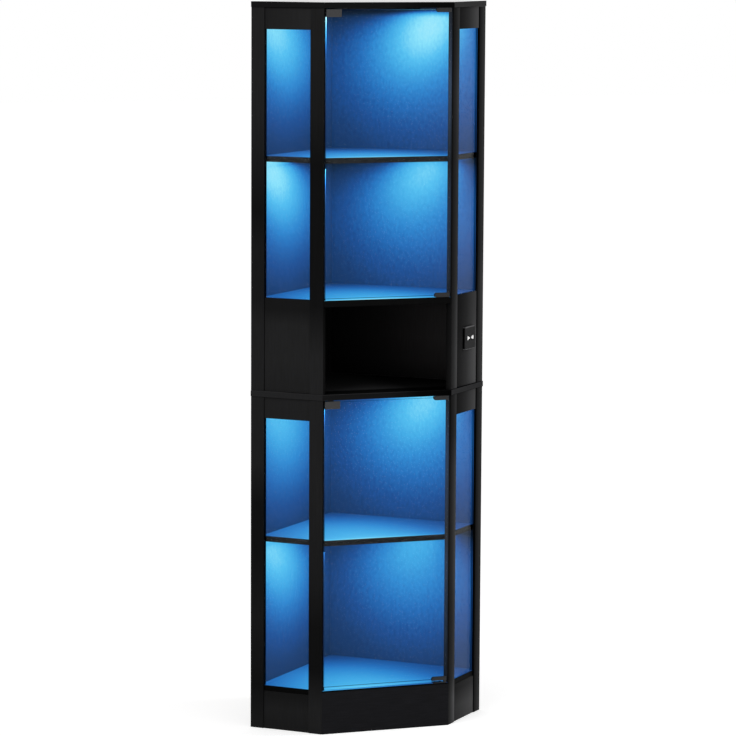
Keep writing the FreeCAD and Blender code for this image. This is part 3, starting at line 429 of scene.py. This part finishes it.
def bar_level(tree, place, side, unit):
    """Light of the bar over each compartment: a wide wash and a bright pool near the bar's end.

    The wash comes from the nearest point of the bar and is (h/d)^slope / d^decay, where h is the drop
    and d^2 = h^2 + (weight (F - setback))^2 + max(x - half, 0)^2; F is the distance in front of the
    back corner and x that from the middle, in millimetres. The pool is a leaning bell exp(-r^2 / 2).
    A veil, in millimetres, is the depth of the shade right under a ceiling.
    """
    toward, half, setback, weight, hang, slope, decay = BARS[side]
    along, wide, high, lean = POOLS[side]
    height = add(tree, "ShaderNodeSeparateXYZ", {"Vector": place}).outputs["Z"]
    level = 0.0
    for (floor, roof), (gain, strength, drop_to, veil) in zip(rooms(unit), GAINS[side, unit]):
        moved = {
            "Vector": place,
            "Scale": (toward / MM, -weight / MM, -1 / MM),
            "Location": (-half, weight * (back_corner - setback), roof / MM - hang),
        }
        moved = add(tree, "ShaderNodeMapping", moved).outputs["Vector"]
        span = {0: moved, 1: (0.0, -ENDLESS, LEAST_DROP)}
        span = add(tree, "ShaderNodeVectorMath", span, operation="MAXIMUM").outputs["Vector"]
        reach = add(tree, "ShaderNodeVectorMath", {0: span}, operation="LENGTH").outputs["Value"]
        drop = add(tree, "ShaderNodeSeparateXYZ", {"Vector": span}).outputs["Z"]
        slant = add(tree, "ShaderNodeMath", {0: drop, 1: slope}, operation="POWER").outputs[0]
        fade = add(tree, "ShaderNodeMath", {0: reach, 1: -slope - decay}, operation="POWER").outputs[0]
        wash = add(tree, "ShaderNodeMath", {0: slant, 1: fade}, operation="MULTIPLY").outputs[0]
        wash = {0: wash, 1: WASH_UNIT * gain}
        wash = add(tree, "ShaderNodeMath", wash, operation="MULTIPLY").outputs[0]
        aside = along * HALF_RIGHT
        spread = {
            "Vector": place,
            "Location": (toward * aside * MM, (back_corner - aside) * MM, roof - drop_to * MM),
            "Rotation": (0.0, lean, -math.pi / 2 + toward * math.pi / 4),
            "Scale": (wide * MM, ENDLESS, high * MM),
        }
        spread = add(tree, "ShaderNodeMapping", spread, vector_type="TEXTURE").outputs["Vector"]
        square = {0: spread, 1: spread}
        square = add(tree, "ShaderNodeVectorMath", square, operation="DOT_PRODUCT").outputs["Value"]
        bell = {0: math.exp(-0.5), 1: square}
        bell = add(tree, "ShaderNodeMath", bell, operation="POWER").outputs[0]
        both = {0: bell, 1: strength, 2: wash}
        both = add(tree, "ShaderNodeMath", both, operation="MULTIPLY_ADD").outputs[0]
        if veil:
            shade = {"Value": height, "From Min": roof, "From Max": roof - veil * MM}
            shade = add(tree, "ShaderNodeMapRange", shade, interpolation_type="SMOOTHSTEP")
            both = {0: both, 1: shade.outputs["Result"]}
            both = add(tree, "ShaderNodeMath", both, operation="MULTIPLY").outputs[0]
        inside = {0: height, 1: (floor + roof) / 2, 2: (roof - floor) / 2}
        inside = add(tree, "ShaderNodeMath", inside, operation="COMPARE").outputs[0]
        total = {0: both, 1: inside, 2: level}
        level = add(tree, "ShaderNodeMath", total, operation="MULTIPLY_ADD").outputs[0]
    return level


INNER_FACE = {"left": LEFT_END, "right": RIGHT_END}
# The hardboard's fibres show as soft mottling, which changes the light by a few hundredths.
FIBRE_WIDE, FIBRE_HIGH = 6 * MM, 10 * MM
FIBRE_LIGHT = {"From Min": 0.25, "From Max": 0.75, "To Min": 0.93, "To Max": 1.07}


def lit_panel(side, unit, tones, fades, faces):
    """Black hardboard, dull and faintly mottled, whose inner face is lit by the bars."""
    name = f"black_hardboard_{unit}_{side}"
    material, tree, inputs = melamine(name, "Z", *tones, gloss=0.01, fades=fades, faces=faces)
    place = add(tree, "ShaderNodeTexCoord").outputs["Object"]
    fibre = {"Vector": place, "Scale": (1 / FIBRE_WIDE, 1 / FIBRE_WIDE, 1 / FIBRE_HIGH)}
    fibre = add(tree, "ShaderNodeMapping", fibre).outputs["Vector"]
    mottle = {"Vector": fibre, "Scale": 1.0, "Detail": 2.0}
    mottle = add(tree, "ShaderNodeTexNoise", mottle).outputs["Fac"]
    mottle = add(tree, "ShaderNodeMapRange", {"Value": mottle, **FIBRE_LIGHT}).outputs["Result"]
    level = {0: bar_level(tree, place, side, unit), 1: mottle}
    level = add(tree, "ShaderNodeMath", level, operation="MULTIPLY").outputs[0]
    shine(tree, inputs, level, INNER_FACE[side])
    return material


PANEL_TONES = ("#1C1C1C", "#222122")
# In the open bay the right panel catches daylight, more to the right and halfway up; this light is
# painted into its tones.
BAY_TONES = ("#4D4A4B", "#525051")
BAY_ACROSS = ((0.0, "#606060"), (0.4, "#A0A0A0"), (0.9, "#FFFFFF"))
BAY_UP = (
    (0.0, "#A0A0A0"), (0.2, "#E8E8E8"), (0.45, "#FFFFFF"),
    (0.75, "#F0F0F0"), (0.92, "#B0B0B0"), (0.95, "#9B9B9B"),
)
low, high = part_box("upper_right_back_panel")
bay_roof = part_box("fixed_shelf")[1][2]
BAY_FADES = (
    ("X", low[0], high[0], BAY_ACROSS, RIGHT_END),
    ("Z", low[2], bay_roof, BAY_UP, RIGHT_END),
)
# The back of the same panel stays as dark as the others.
BAY_FACES = (((HALF_RIGHT, HALF_RIGHT, 0.0), 0.2),)
for side, unit in GAINS:
    look = (PANEL_TONES, (), ())
    if (side, unit) == ("right", "upper"):
        look = (BAY_TONES, BAY_FADES, BAY_FACES)
    finish_nodes(lit_panel(side, unit, *look), f"{unit}_{side}_back_panel")

# The right stiles catch the same light on the edge behind their panes. The front ends of the right
# posts catch some of it past the door's edge, most a little way under each bar.
INWARD_RIGHT = (-HALF_RIGHT, HALF_RIGHT, 0.0)
POST_LIGHT = {
    "upper": (
        (0.0, "#1C2028"), (0.12, "#232B36"), (0.3, "#263349"),
        (0.47, "#22262B"), (0.74, "#364459"), (1.0, "#202328"),
    ),
    "lower": (
        (0.0, "#15181E"), (0.2, "#222B38"), (0.42, "#303A4D"),
        (0.52, "#2E2F31"), (0.8, "#303F57"), (1.0, "#222529"),
    ),
}
# The light on a post's end comes in between these depths in front of the pane.
POST_DARK, POST_LIT = 6 * MM, 3 * MM
for unit in ("lower", "upper"):
    pane_low, pane_high = (Vector(corner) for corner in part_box(f"{unit}_right_side_glass"))
    pane_depth = (pane_low + pane_high).dot(Vector(INWARD_RIGHT)) / 2
    _, tree, inputs = right_side[f"{unit}_right_stile"]
    place = add(tree, "ShaderNodeTexCoord").outputs["Object"]
    depth = {0: place, 1: INWARD_RIGHT}
    depth = add(tree, "ShaderNodeVectorMath", depth, operation="DOT_PRODUCT").outputs["Value"]
    behind = add(tree, "ShaderNodeMath", {0: depth, 1: pane_depth}, operation="GREATER_THAN").outputs[0]
    level = {0: bar_level(tree, place, "right", unit), 1: behind}
    level = add(tree, "ShaderNodeMath", level, operation="MULTIPLY").outputs[0]
    shine(tree, inputs, level, RIGHT_END)
    _, tree, inputs = right_side[f"{unit}_right_post"]
    place = add(tree, "ShaderNodeTexCoord").outputs["Object"]
    height = add(tree, "ShaderNodeSeparateXYZ", {"Vector": place}).outputs["Z"]
    (_, head), (foot, _) = rooms(unit)
    share = {"Value": height, "From Min": foot, "From Max": head}
    share = add(tree, "ShaderNodeMapRange", share).outputs["Result"]
    caught = add(tree, "ShaderNodeValToRGB", {"Fac": share}, stops=POST_LIGHT[unit]).outputs["Color"]
    above = add(tree, "ShaderNodeMath", {0: height, 1: foot}, operation="GREATER_THAN").outputs[0]
    depth = {0: place, 1: INWARD_RIGHT}
    depth = add(tree, "ShaderNodeVectorMath", depth, operation="DOT_PRODUCT").outputs["Value"]
    behind = {"Value": depth, "From Min": pane_depth - POST_DARK, "From Max": pane_depth - POST_LIT}
    behind = add(tree, "ShaderNodeMapRange", behind).outputs["Result"]
    strength = {0: facing(tree, RIGHT_END, **LIT_FACE), 1: above}
    strength = add(tree, "ShaderNodeMath", strength, operation="MULTIPLY").outputs[0]
    strength = add(tree, "ShaderNodeMath", {0: strength, 1: behind}, operation="MULTIPLY").outputs[0]
    tree.links.new(caught, inputs["Emission Color"])
    tree.links.new(strength, inputs["Emission Strength"])

# Planed raw beech: pale brown and dull, with fine darker streaks along the grain.
beech = melamine("raw_beech", "Z", "#A98055", "#C39D70")[0]
finish_nodes(beech, "lower_corner_batten", "upper_corner_batten", "dowels")

# Side panes and doors: clear float glass 4 mm thick with ground edges.
# The side panes stand in grooves; each door is held only by its hinge clips.
# Light of the bars runs inside the glass and leaves at its upright edges.

# Both kinds of glass are bloomed, the doors more, so they mirror little of the room.
DOOR_IOR, PANE_IOR = 1.045, 1.06
CLEAR = {"base_color": linear("#F8FCFD"), "transmission_weight": 1.0, "roughness": 0.0}
LEFT_EDGE = (-1.0, 0.0, 0.0)
# Light at the top of the door's left edge in each compartment, and the drop over which it falls to 1/e.
EDGE_LIGHT = {"upper": (6.1, 3.2), "lower": (2.3, 1.7)}
EDGE_DROP = 53 * MM
# A shelf shades the edge a little below itself.
SHELF_SHADE = 12 * MM
# The edge is thinner than the eye can part from its glare, so it shines more than the laminate.
EDGE_STRENGTH = 5.5
# The ground arris along the top has a tenth of the glass's colour, so it shows dark.
ARRIS_FACES = (((0.0, -HALF_RIGHT, HALF_RIGHT), 0.1),)


def door_glass(unit):
    """Clear bloomed float glass; its left edge shines s exp(-h/drop), h below a strike or a shelf."""
    material, tree, inputs = new_material(f"clear_float_glass_{unit}_door", ior=DOOR_IOR, **CLEAR)
    place = add(tree, "ShaderNodeTexCoord").outputs["Object"]
    height = add(tree, "ShaderNodeSeparateXYZ", {"Vector": place}).outputs["Z"]
    strike_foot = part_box(f"{unit}_door_strike_plate")[0][2]
    level = 0.0
    for (_, roof), strength in zip(rooms(unit), EDGE_LIGHT[unit]):
        top = min(roof - SHELF_SHADE, strike_foot)
        drop = {0: height, 1: 1 / EDGE_DROP, 2: -top / EDGE_DROP}
        drop = add(tree, "ShaderNodeMath", drop, operation="MULTIPLY_ADD").outputs[0]
        fade = add(tree, "ShaderNodeMath", {0: drop}, operation="EXPONENT").outputs[0]
        below = add(tree, "ShaderNodeMath", {0: height, 1: top}, operation="LESS_THAN").outputs[0]
        share = add(tree, "ShaderNodeMath", {0: below, 1: strength}, operation="MULTIPLY").outputs[0]
        total = {0: fade, 1: share, 2: level}
        level = add(tree, "ShaderNodeMath", total, operation="MULTIPLY_ADD").outputs[0]
    shine(tree, inputs, level, LEFT_EDGE, EDGE_STRENGTH)
    tree.links.new(tint_faces(tree, CLEAR["base_color"][:3], ARRIS_FACES), inputs["Base Color"])
    return material


pane_glass = new_material("clear_float_glass", ior=PANE_IOR, **CLEAR)[0]
for unit in ("lower", "upper"):
    finish_nodes(pane_glass, f"{unit}_left_side_glass", f"{unit}_right_side_glass")
    finish_nodes(door_glass(unit), f"{unit}_door_glass")

# Small steel: cam fittings, shelf pins and cross-recess screws, zinc plated.
# What sits in sight of the doors is passivated black; the back panels' screws are bright.
# Each screw has a domed pan head, pressed with a cross recess, on a rolled shank.

# Bright zinc plate: a pale metal with a faint spangle of crystals.
SPANGLE_SIZE = 2 * MM
zinc_plate, tree, inputs = new_material("zinc_plated_steel", metallic=1.0, roughness=0.34)
place = add(tree, "ShaderNodeTexCoord").outputs["Object"]
spangle = {"Vector": place, "Scale": 1 / SPANGLE_SIZE}
spangle = add(tree, "ShaderNodeTexVoronoi", spangle).outputs["Distance"]
tones = ((0.0, "#B9BBBD"), (0.8, "#A4A7AA"))
colour = add(tree, "ShaderNodeValToRGB", {"Fac": spangle}, stops=tones).outputs["Color"]
tree.links.new(colour, inputs["Base Color"])
finish_nodes(zinc_plate, "cam_bolts", "cam_nuts")

# Black passivated zinc: a dark, half-dull metal with a cloudy bloom.
BLOOM_SIZE = 1.5 * MM
black_zinc, tree, inputs = new_material("black_passivated_zinc", metallic=1.0, roughness=0.45)
place = add(tree, "ShaderNodeTexCoord").outputs["Object"]
bloom = {"Vector": place, "Scale": 1 / BLOOM_SIZE, "Detail": 2.0}
bloom = add(tree, "ShaderNodeTexNoise", bloom).outputs["Fac"]
tones = ((0.3, "#232425"), (0.7, "#333537"))
colour = add(tree, "ShaderNodeValToRGB", {"Fac": bloom}, stops=tones).outputs["Color"]
tree.links.new(colour, inputs["Base Color"])
finish_nodes(black_zinc, "shelf_pins", "lower_door_clamp_screws", "upper_door_clamp_screws")

# A screw's sizes, in millimetres.
HEAD_RADIUS, HEAD_HEIGHT, RIM_HEIGHT = 2.8, 1.6, 0.55
SHANK_RADIUS, TIP_RADIUS, TIP_LENGTH = 1.5, 0.8, 1.0
RECESS_DEPTH, RECESS_REACH, RECESS_HALF, RECESS_TAPER = 0.9, 1.75, 0.42, 0.75
# Rings of the dome outside the recess, as shares of its radius.
DOME_RINGS = (1.0, 0.95, 0.86, 0.76)
# A point farther than this from a screw's axis belongs to the head.
HEAD_FROM = 2.0
# Each screw stops this much farther round than the one before, in radians.
NEXT_TURN = 0.7
# A screw whose axis has more than this share of height stands upright.
UPRIGHT = 0.9
# Points nearer than this are one, and no length is divided by less.
SAME_PLACE = 1e-6


def node_points(node):
    """Corner points of a CAD node's mesh, one row each."""
    vertices = nodes[node].data.vertices
    points = np.empty(3 * len(vertices))
    vertices.foreach_get("co", points)
    return points.reshape(-1, 3)


def loose_parts(node):
    """Corner points of each loose part of a CAD node: the lowest label spreads over joined triangles."""
    loops = nodes[node].data.loops
    corners = np.empty(len(loops), int)
    loops.foreach_get("vertex_index", corners)
    spots, same = np.unique(node_points(node).round(6), axis=0, return_inverse=True)
    faces = same.reshape(-1)[corners].reshape(-1, 3)
    label, settled = np.arange(len(spots)), False
    while not settled:
        lower = label.copy()
        np.minimum.at(lower, faces, label[faces].min(1)[:, None])
        settled = (lower == label).all()
        label = lower
    return [spots[label == part] for part in np.unique(label)]


def screw_seat(points):
    """Where a screw's head lies, the way it looks and its shank's length.

    The axis is the longest way through the points, and looks towards the end that is wide.
    """
    centre = points.mean(0)
    axis = np.linalg.svd(points - centre)[2][0]
    along = (points - centre) @ axis
    off_axis = np.linalg.norm(points - centre - along[:, None] * axis, axis=1)
    axis *= np.sign(along[off_axis > HEAD_FROM * MM].mean())
    along = (points - centre) @ axis
    return centre + axis * (along.max() - HEAD_HEIGHT * MM), axis, np.ptp(along) / MM - HEAD_HEIGHT


def pan_screw(shank, around=96):
    """Rings of a screw in millimetres, its head's underside at 0.

    The head's height is rim + (h - rim) sqrt(1 - (r/R)^2). The edge of its cross recess lies at the
    smaller of reach/max(|cos t|, |sin t|) and half/min(|cos t|, |sin t|); its walls taper to the floor.
    """
    turn = np.linspace(0.0, 2 * np.pi, around, endpoint=False)
    cosine, sine = np.cos(turn), np.sin(turn)
    smaller, larger = np.minimum(abs(cosine), abs(sine)), np.maximum(abs(cosine), abs(sine))
    edge = np.minimum(RECESS_REACH / larger, RECESS_HALF / np.maximum(smaller, SAME_PLACE))
    circle = np.ones(around)
    domed = np.outer(HEAD_RADIUS * np.array(DOME_RINGS), circle)
    domed = np.concatenate((domed, [(domed[-1] + edge) / 2, edge]))
    dome = RIM_HEIGHT + (HEAD_HEIGHT - RIM_HEIGHT) * np.sqrt(1 - (domed / HEAD_RADIUS) ** 2)
    under_radius = np.outer((0.0, TIP_RADIUS, SHANK_RADIUS, SHANK_RADIUS, HEAD_RADIUS), circle)
    under_height = np.outer((-shank, -shank, TIP_LENGTH - shank, 0.0, 0.0), circle)
    floor = np.full((2, around), HEAD_HEIGHT - RECESS_DEPTH)
    radius = np.concatenate((under_radius, domed, [RECESS_TAPER * edge, 0.0 * edge]))
    height = np.concatenate((under_height, dome, floor))
    return np.stack((radius * cosine, radius * sine, height), axis=-1)


def grid_faces(rows, columns):
    """Four-sided faces of a grid of points whose columns close into a ring."""
    row, column = np.meshgrid(np.arange(rows - 1), np.arange(columns), indexing="ij")
    here, onward = row * columns + column, row * columns + (column + 1) % columns
    return np.stack((here, onward, onward + columns, here + columns), axis=-1).reshape(-1, 4)


def new_piece(name, shells, material):
    """A mesh object of like closed shells, each a grid of points in metres, ring by ring."""
    count, rows, columns = shells.shape[:3]
    first = np.arange(count)[:, None, None] * rows * columns
    faces = (grid_faces(rows, columns) + first).reshape(-1, 4)
    mesh = bpy.data.meshes.new(name)
    mesh.from_pydata(shells.reshape(-1, 3).tolist(), [], faces.tolist())
    shape = bmesh.new()
    shape.from_mesh(mesh)
    bmesh.ops.remove_doubles(shape, verts=shape.verts, dist=SAME_PLACE)
    bmesh.ops.recalc_face_normals(shape, faces=shape.faces)
    shape.to_mesh(mesh)
    shape.free()
    mesh.materials.append(material)
    piece = bpy.data.objects.new(name, mesh)
    bpy.context.scene.collection.objects.link(piece)
    return piece


for node, finish, slot in (
    ("panel_screws", zinc_plate, "zinc_steel"),
    ("hinge_plate_screws", black_zinc, "black_steel"),
    ("latch_screws", black_zinc, "black_steel"),
):
    seats, axes, lengths = (np.array(part) for part in zip(*map(screw_seat, loose_parts(node))))
    first = np.cross(axes, np.where(abs(axes[:, 2:]) > UPRIGHT, (1.0, 0.0, 0.0), UP))
    second = np.cross(axes, first)
    turn = np.arange(len(seats))[:, None] * NEXT_TURN
    cosine, sine = np.cos(turn), np.sin(turn)
    turned = np.stack((first * cosine + second * sine, second * cosine - first * sine, axes), axis=1)
    rings = np.einsum("rci,sij->srcj", pan_screw(lengths[0]), turned)
    screws = new_piece(f"cross_{node}", seats[:, None, None] + MM * rings, finish)
    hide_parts(node)
    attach(screws, "carcass")

# Light bars: a black anodised channel under each ceiling, with a white tape of blue light chips.
# They shine downwards and are what lights the panels and shelves.

# Drawn and anodised aluminium: dark grey metal with fine lines along it.
DRAWN_LENGTH, DRAWN_WIDTH = 83 * MM, 0.4 * MM
anodised, tree, inputs = new_material("black_anodised_aluminium", metallic=1.0, roughness=0.4)
place = add(tree, "ShaderNodeTexCoord").outputs["Object"]
drawn = {"Vector": place, "Scale": (1 / DRAWN_LENGTH, 1 / DRAWN_WIDTH, 1 / DRAWN_WIDTH)}
drawn = add(tree, "ShaderNodeMapping", drawn).outputs["Vector"]
lines = {"Vector": drawn, "Scale": 1.0, "Detail": 2.0}
lines = add(tree, "ShaderNodeTexNoise", lines).outputs["Fac"]
tones = ((0.3, "#1D1E20"), (0.7, "#2A2B2E"))
colour = add(tree, "ShaderNodeValToRGB", {"Fac": lines}, stops=tones).outputs["Color"]
tree.links.new(colour, inputs["Base Color"])
finish_nodes(anodised, "light_channels")

# The tape is white film; the chips under it make its lower face glow pale blue.
DOWN = (0.0, 0.0, -1.0)
tape, tree, inputs = new_material(
    "lit_chip_tape", base_color=linear("#D8E6EA"), roughness=0.5, emission_color=linear("#9BE6FF")
)
tree.links.new(facing(tree, DOWN), inputs["Emission Strength"])
finish_nodes(tape, "light_tapes")

# Charger: a black moulded plate with a bevelled rim on the right bay panel, its box behind.
# Its two ports are white moulded plugs that taper towards each other, pressed into the plate.

# Moulded texture, drawn 1 mm coarse so that it shows.
GRIT_SIZE = 1 * MM
GRIT_BUMP, GRIT_DEPTH = 0.1, 0.2 * MM


def moulded(name, dark, pale, roughness, gloss=0.04, faces=()):
    """Moulded plastic with a fine spark-eroded texture: even, half-dull and faintly gritty."""
    material, tree, inputs = new_material(name, roughness=roughness, specular_ior_level=gloss)
    place = add(tree, "ShaderNodeTexCoord").outputs["Object"]
    grit = {"Vector": place, "Scale": 1 / GRIT_SIZE, "Detail": 2.0}
    grit = add(tree, "ShaderNodeTexNoise", grit).outputs["Fac"]
    tones = ((0.3, dark), (0.7, pale))
    colour = add(tree, "ShaderNodeValToRGB", {"Fac": grit}, stops=tones).outputs["Color"]
    bump = add(tree, "ShaderNodeBump", {"Height": grit, "Strength": GRIT_BUMP, "Distance": GRIT_DEPTH})
    tree.links.new(tint_faces(tree, colour, faces), inputs["Base Color"])
    tree.links.new(bump.outputs["Normal"], inputs["Normal"])
    return material


black_abs = moulded("black_moulded_abs", "#141415", "#19191A", 0.42)
finish_nodes(black_abs, "charger_body", "charger_gland")
# Painted light and shade: the plate has the pale tone of its lit bevel, and the rest is painted dark
# again:
# its face, the bevel that looks forwards, its top and, almost black, its end towards the front post.
PLATE_LIGHT_AND_SHADE = ((RIGHT_OUT, 0.24), (FRONT, 0.36), (RIGHT_END, 0.02), (UP, 0.1))
plate = moulded("black_moulded_abs_plate", "#5E5E5F", "#666667", 0.42, 0.004, PLATE_LIGHT_AND_SHADE)
finish_nodes(plate, "charger_plate")

# Where a port's plug begins and ends beside the plate's middle, its half heights there and its depth.
PORT_FROM, PORT_TO = 4.0, 19.0
PORT_LOW, PORT_TALL = 1.6, 5.6
PORT_DEEP = 6.0
PORT_POWER = 0.35
# Outline scale and depth under the plate's face of each ring, from the back's middle to the front's.
PORT_RINGS = np.array(
    [(0.0, PORT_DEEP), (1.0, PORT_DEEP), (1.0, 0.6), (0.97, 0.3), (0.9, 0.12), (0.0, 0.08)]
)


def tapered_plug(side, around=48):
    """Points of a plug: u = middle + half k c(t), v = k s(t) h(u), for rings of scale k at their depths.

    c and s are the cosine and sine raised to a power under 1, which rounds a rectangle's corners, and
    h grows in a straight line from the plug's low inner end to its tall outer end.
    """
    turn = np.linspace(0.0, 2 * np.pi, around, endpoint=False)
    c = np.sign(np.cos(turn)) * np.abs(np.cos(turn)) ** PORT_POWER
    s = np.sign(np.sin(turn)) * np.abs(np.sin(turn)) ** PORT_POWER
    scale, depth = PORT_RINGS[:, :1], PORT_RINGS[:, 1:]
    u = (PORT_FROM + PORT_TO) / 2 + (PORT_TO - PORT_FROM) / 2 * scale * c
    tall = PORT_LOW + (PORT_TALL - PORT_LOW) * (u - PORT_FROM) / (PORT_TO - PORT_FROM)
    v = scale * s * tall
    return np.stack((side * u, v, np.broadcast_to(depth, u.shape)), axis=-1)


axes = np.array((RIGHT_END, UP, RIGHT_OUT))
along, up, out = axes
spread = node_points("charger_plate") @ axes.T
face_middle = ((spread.min(0) + spread.max(0)) / 2)[:2] @ axes[:2] + spread[:, 2].max() * out
plugs = np.stack([tapered_plug(side) for side in (-1.0, 1.0)])
shells = face_middle + MM * (plugs[..., :1] * along + plugs[..., 1:2] * up - plugs[..., 2:] * out)
white_abs = moulded("white_moulded_abs", "#F8F8F7", "#FFFFFF", 0.3)
ports = new_piece("charger_port_plugs", shells, white_abs)
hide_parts("charger_ports")
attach(ports, "carcass")

# Push latches: black moulded housings screwed under the slabs, each behind a door's strike plate.
# A grey moulded plunger with a magnet in its face slides in the housing against a spring.

finish_nodes(black_abs, "lower_latch_body", "upper_latch_body")
grey_nylon = moulded("grey_moulded_nylon", "#5A5B5D", "#66676A", 0.45)
finish_nodes(grey_nylon, "lower_latch_plunger", "upper_latch_plunger")

# Hinges and strikes: pressed steel with a fine powder coat, black or charcoal.
# The hinge plates are screwed to the boards; the clips and strikes grip the glass.

# The coat's orange peel, drawn 1.2 mm coarse so that it shows.
PEEL_SIZE = 1.2 * MM
PEEL_BUMP, PEEL_DEPTH = 0.12, 0.2 * MM


def powder_coat(name, dark, pale):
    """Powder coat on steel: dull and even, with a fine orange peel."""
    material, tree, inputs = new_material(name, roughness=0.5, specular_ior_level=0.05)
    place = add(tree, "ShaderNodeTexCoord").outputs["Object"]
    peel = {"Vector": place, "Scale": 1 / PEEL_SIZE, "Detail": 1.0}
    peel = add(tree, "ShaderNodeTexNoise", peel).outputs["Fac"]
    tones = ((0.3, dark), (0.7, pale))
    colour = add(tree, "ShaderNodeValToRGB", {"Fac": peel}, stops=tones).outputs["Color"]
    bump = add(tree, "ShaderNodeBump", {"Height": peel, "Strength": PEEL_BUMP, "Distance": PEEL_DEPTH})
    tree.links.new(colour, inputs["Base Color"])
    tree.links.new(bump.outputs["Normal"], inputs["Normal"])
    return material


black_coat = powder_coat("black_powder_coat", "#363637", "#3E3E3F")
finish_nodes(black_coat, "hinge_plates", "lower_door_hinge_clips", "upper_door_hinge_clips")
grey_coat = powder_coat("charcoal_powder_coat", "#434344", "#4D4D4E")
finish_nodes(grey_coat, "lower_door_strike_plate", "upper_door_strike_plate")

# The studio: a pale floor that runs into a white surround, one high soft lamp at the left front and
# a broad one on the right.

FLOOR_REACH = 30.0
# The floor shines a little by itself, less around the cabinet, where the lamps reach it too.
NEAR_SHINE, FAR_SHINE = 0.47, 0.57
NEAR, FAR = 1.0, 6.0
SURROUND_LIGHT = 0.5
WHITE_LIGHT = (*WHITE, 1.0)


def seen_directly(tree):
    """1 for camera, glossy and transmission rays, which should meet plain white; 0 for the others."""
    path = add(tree, "ShaderNodeLightPath").outputs
    mirrored = {0: path["Is Camera Ray"], 1: path["Is Glossy Ray"]}
    mirrored = add(tree, "ShaderNodeMath", mirrored, operation="MAXIMUM").outputs[0]
    either = {0: mirrored, 1: path["Is Transmission Ray"]}
    return add(tree, "ShaderNodeMath", either, operation="MAXIMUM").outputs[0]


# The floor is pale matt paper.
pale, tree, inputs = new_material(
    "pale_floor", base_color=linear("#F2F2F2"), roughness=0.9, specular_ior_level=0.0,
    emission_color=WHITE_LIGHT,
)
place = add(tree, "ShaderNodeTexCoord").outputs["Object"]
away = add(tree, "ShaderNodeVectorMath", {0: place}, operation="LENGTH").outputs["Value"]
ramp = {"Value": away, "From Min": NEAR, "From Max": FAR, "To Min": NEAR_SHINE, "To Max": FAR_SHINE}
ramp = add(tree, "ShaderNodeMapRange", ramp, interpolation_type="SMOOTHSTEP").outputs["Result"]
glow = add(tree, "ShaderNodeMath", {0: seen_directly(tree), 1: ramp}, operation="MULTIPLY").outputs[0]
tree.links.new(glow, inputs["Emission Strength"])
corners = FLOOR_REACH * np.array(((-1, -1, 0), (1, -1, 0), (1, 1, 0), (-1, 1, 0)))
floor_mesh = bpy.data.meshes.new("floor")
floor_mesh.from_pydata(corners.tolist(), [], [(0, 1, 2, 3)])
floor_mesh.materials.append(pale)
floor = bpy.data.objects.new("floor", floor_mesh)
bpy.context.scene.collection.objects.link(floor)

world = bpy.data.worlds.new("white_surround")
bpy.context.scene.world = world
world.use_nodes = True
tree = world.node_tree
tree.nodes.clear()
strength = {"Value": seen_directly(tree), "To Min": SURROUND_LIGHT, "To Max": 1.0}
strength = add(tree, "ShaderNodeMapRange", strength).outputs["Result"]
surround = add(tree, "ShaderNodeBackground", {"Color": WHITE_LIGHT, "Strength": strength})
add(tree, "ShaderNodeOutputWorld", {"Surface": surround.outputs["Background"]})


def soft_lamp(name, place, target, width, height, power):
    """A rectangular area lamp that faces a target."""
    lamp = bpy.data.lights.new(name, "AREA")
    lamp.shape = "RECTANGLE"
    lamp.size, lamp.size_y, lamp.energy = width, height, power
    holder = bpy.data.objects.new(name, lamp)
    holder.location = place
    holder.rotation_euler = (Vector(target) - Vector(place)).to_track_quat("-Z", "Y").to_euler()
    bpy.context.scene.collection.objects.link(holder)


soft_lamp(
    "left_softbox", place=(-1.8, -1.2, 3.2), target=(-0.2, -0.1, 1.4), width=1.6, height=1.6, power=34.0
)
soft_lamp(
    "right_softbox", place=(2.8, -0.6, 2.2), target=(0.2, -0.1, 1.0), width=1.2, height=2.4, power=34.0
)

# The camera: far off and a little to the left, looking slightly down, as a long lens sees it.
# Its focal length is given in pixels of the photograph's frame.

VIEW_PLACE = (-3.015, -8.375, 1.989)
YAW, PITCH, ROLL = math.radians(19.98), math.radians(7.101), math.radians(0.296)
FOCAL_PIXELS = 3569.0
FRAME_PIXELS = 736
SENSOR = 36.0
VIEW_END = 100.0

ahead = Vector((math.sin(YAW) * math.cos(PITCH), math.cos(YAW) * math.cos(PITCH), -math.sin(PITCH)))
right = Vector((math.cos(YAW), -math.sin(YAW), 0.0))
above = right.cross(ahead)
tilted_right = right * math.cos(ROLL) + above * math.sin(ROLL)
tilted_up = above * math.cos(ROLL) - right * math.sin(ROLL)
lens = bpy.data.cameras.new("photo_view")
lens.sensor_fit = "HORIZONTAL"
lens.sensor_width = SENSOR
lens.lens = FOCAL_PIXELS * SENSOR / FRAME_PIXELS
lens.clip_end = VIEW_END
camera = bpy.data.objects.new("photo_view", lens)
turned = Matrix((tilted_right, tilted_up, -ahead)).transposed().to_4x4()
camera.matrix_world = Matrix.Translation(VIEW_PLACE) @ turned
bpy.context.scene.collection.objects.link(camera)
bpy.context.scene.camera = camera

bpy.context.scene.view_settings.view_transform = "Standard"
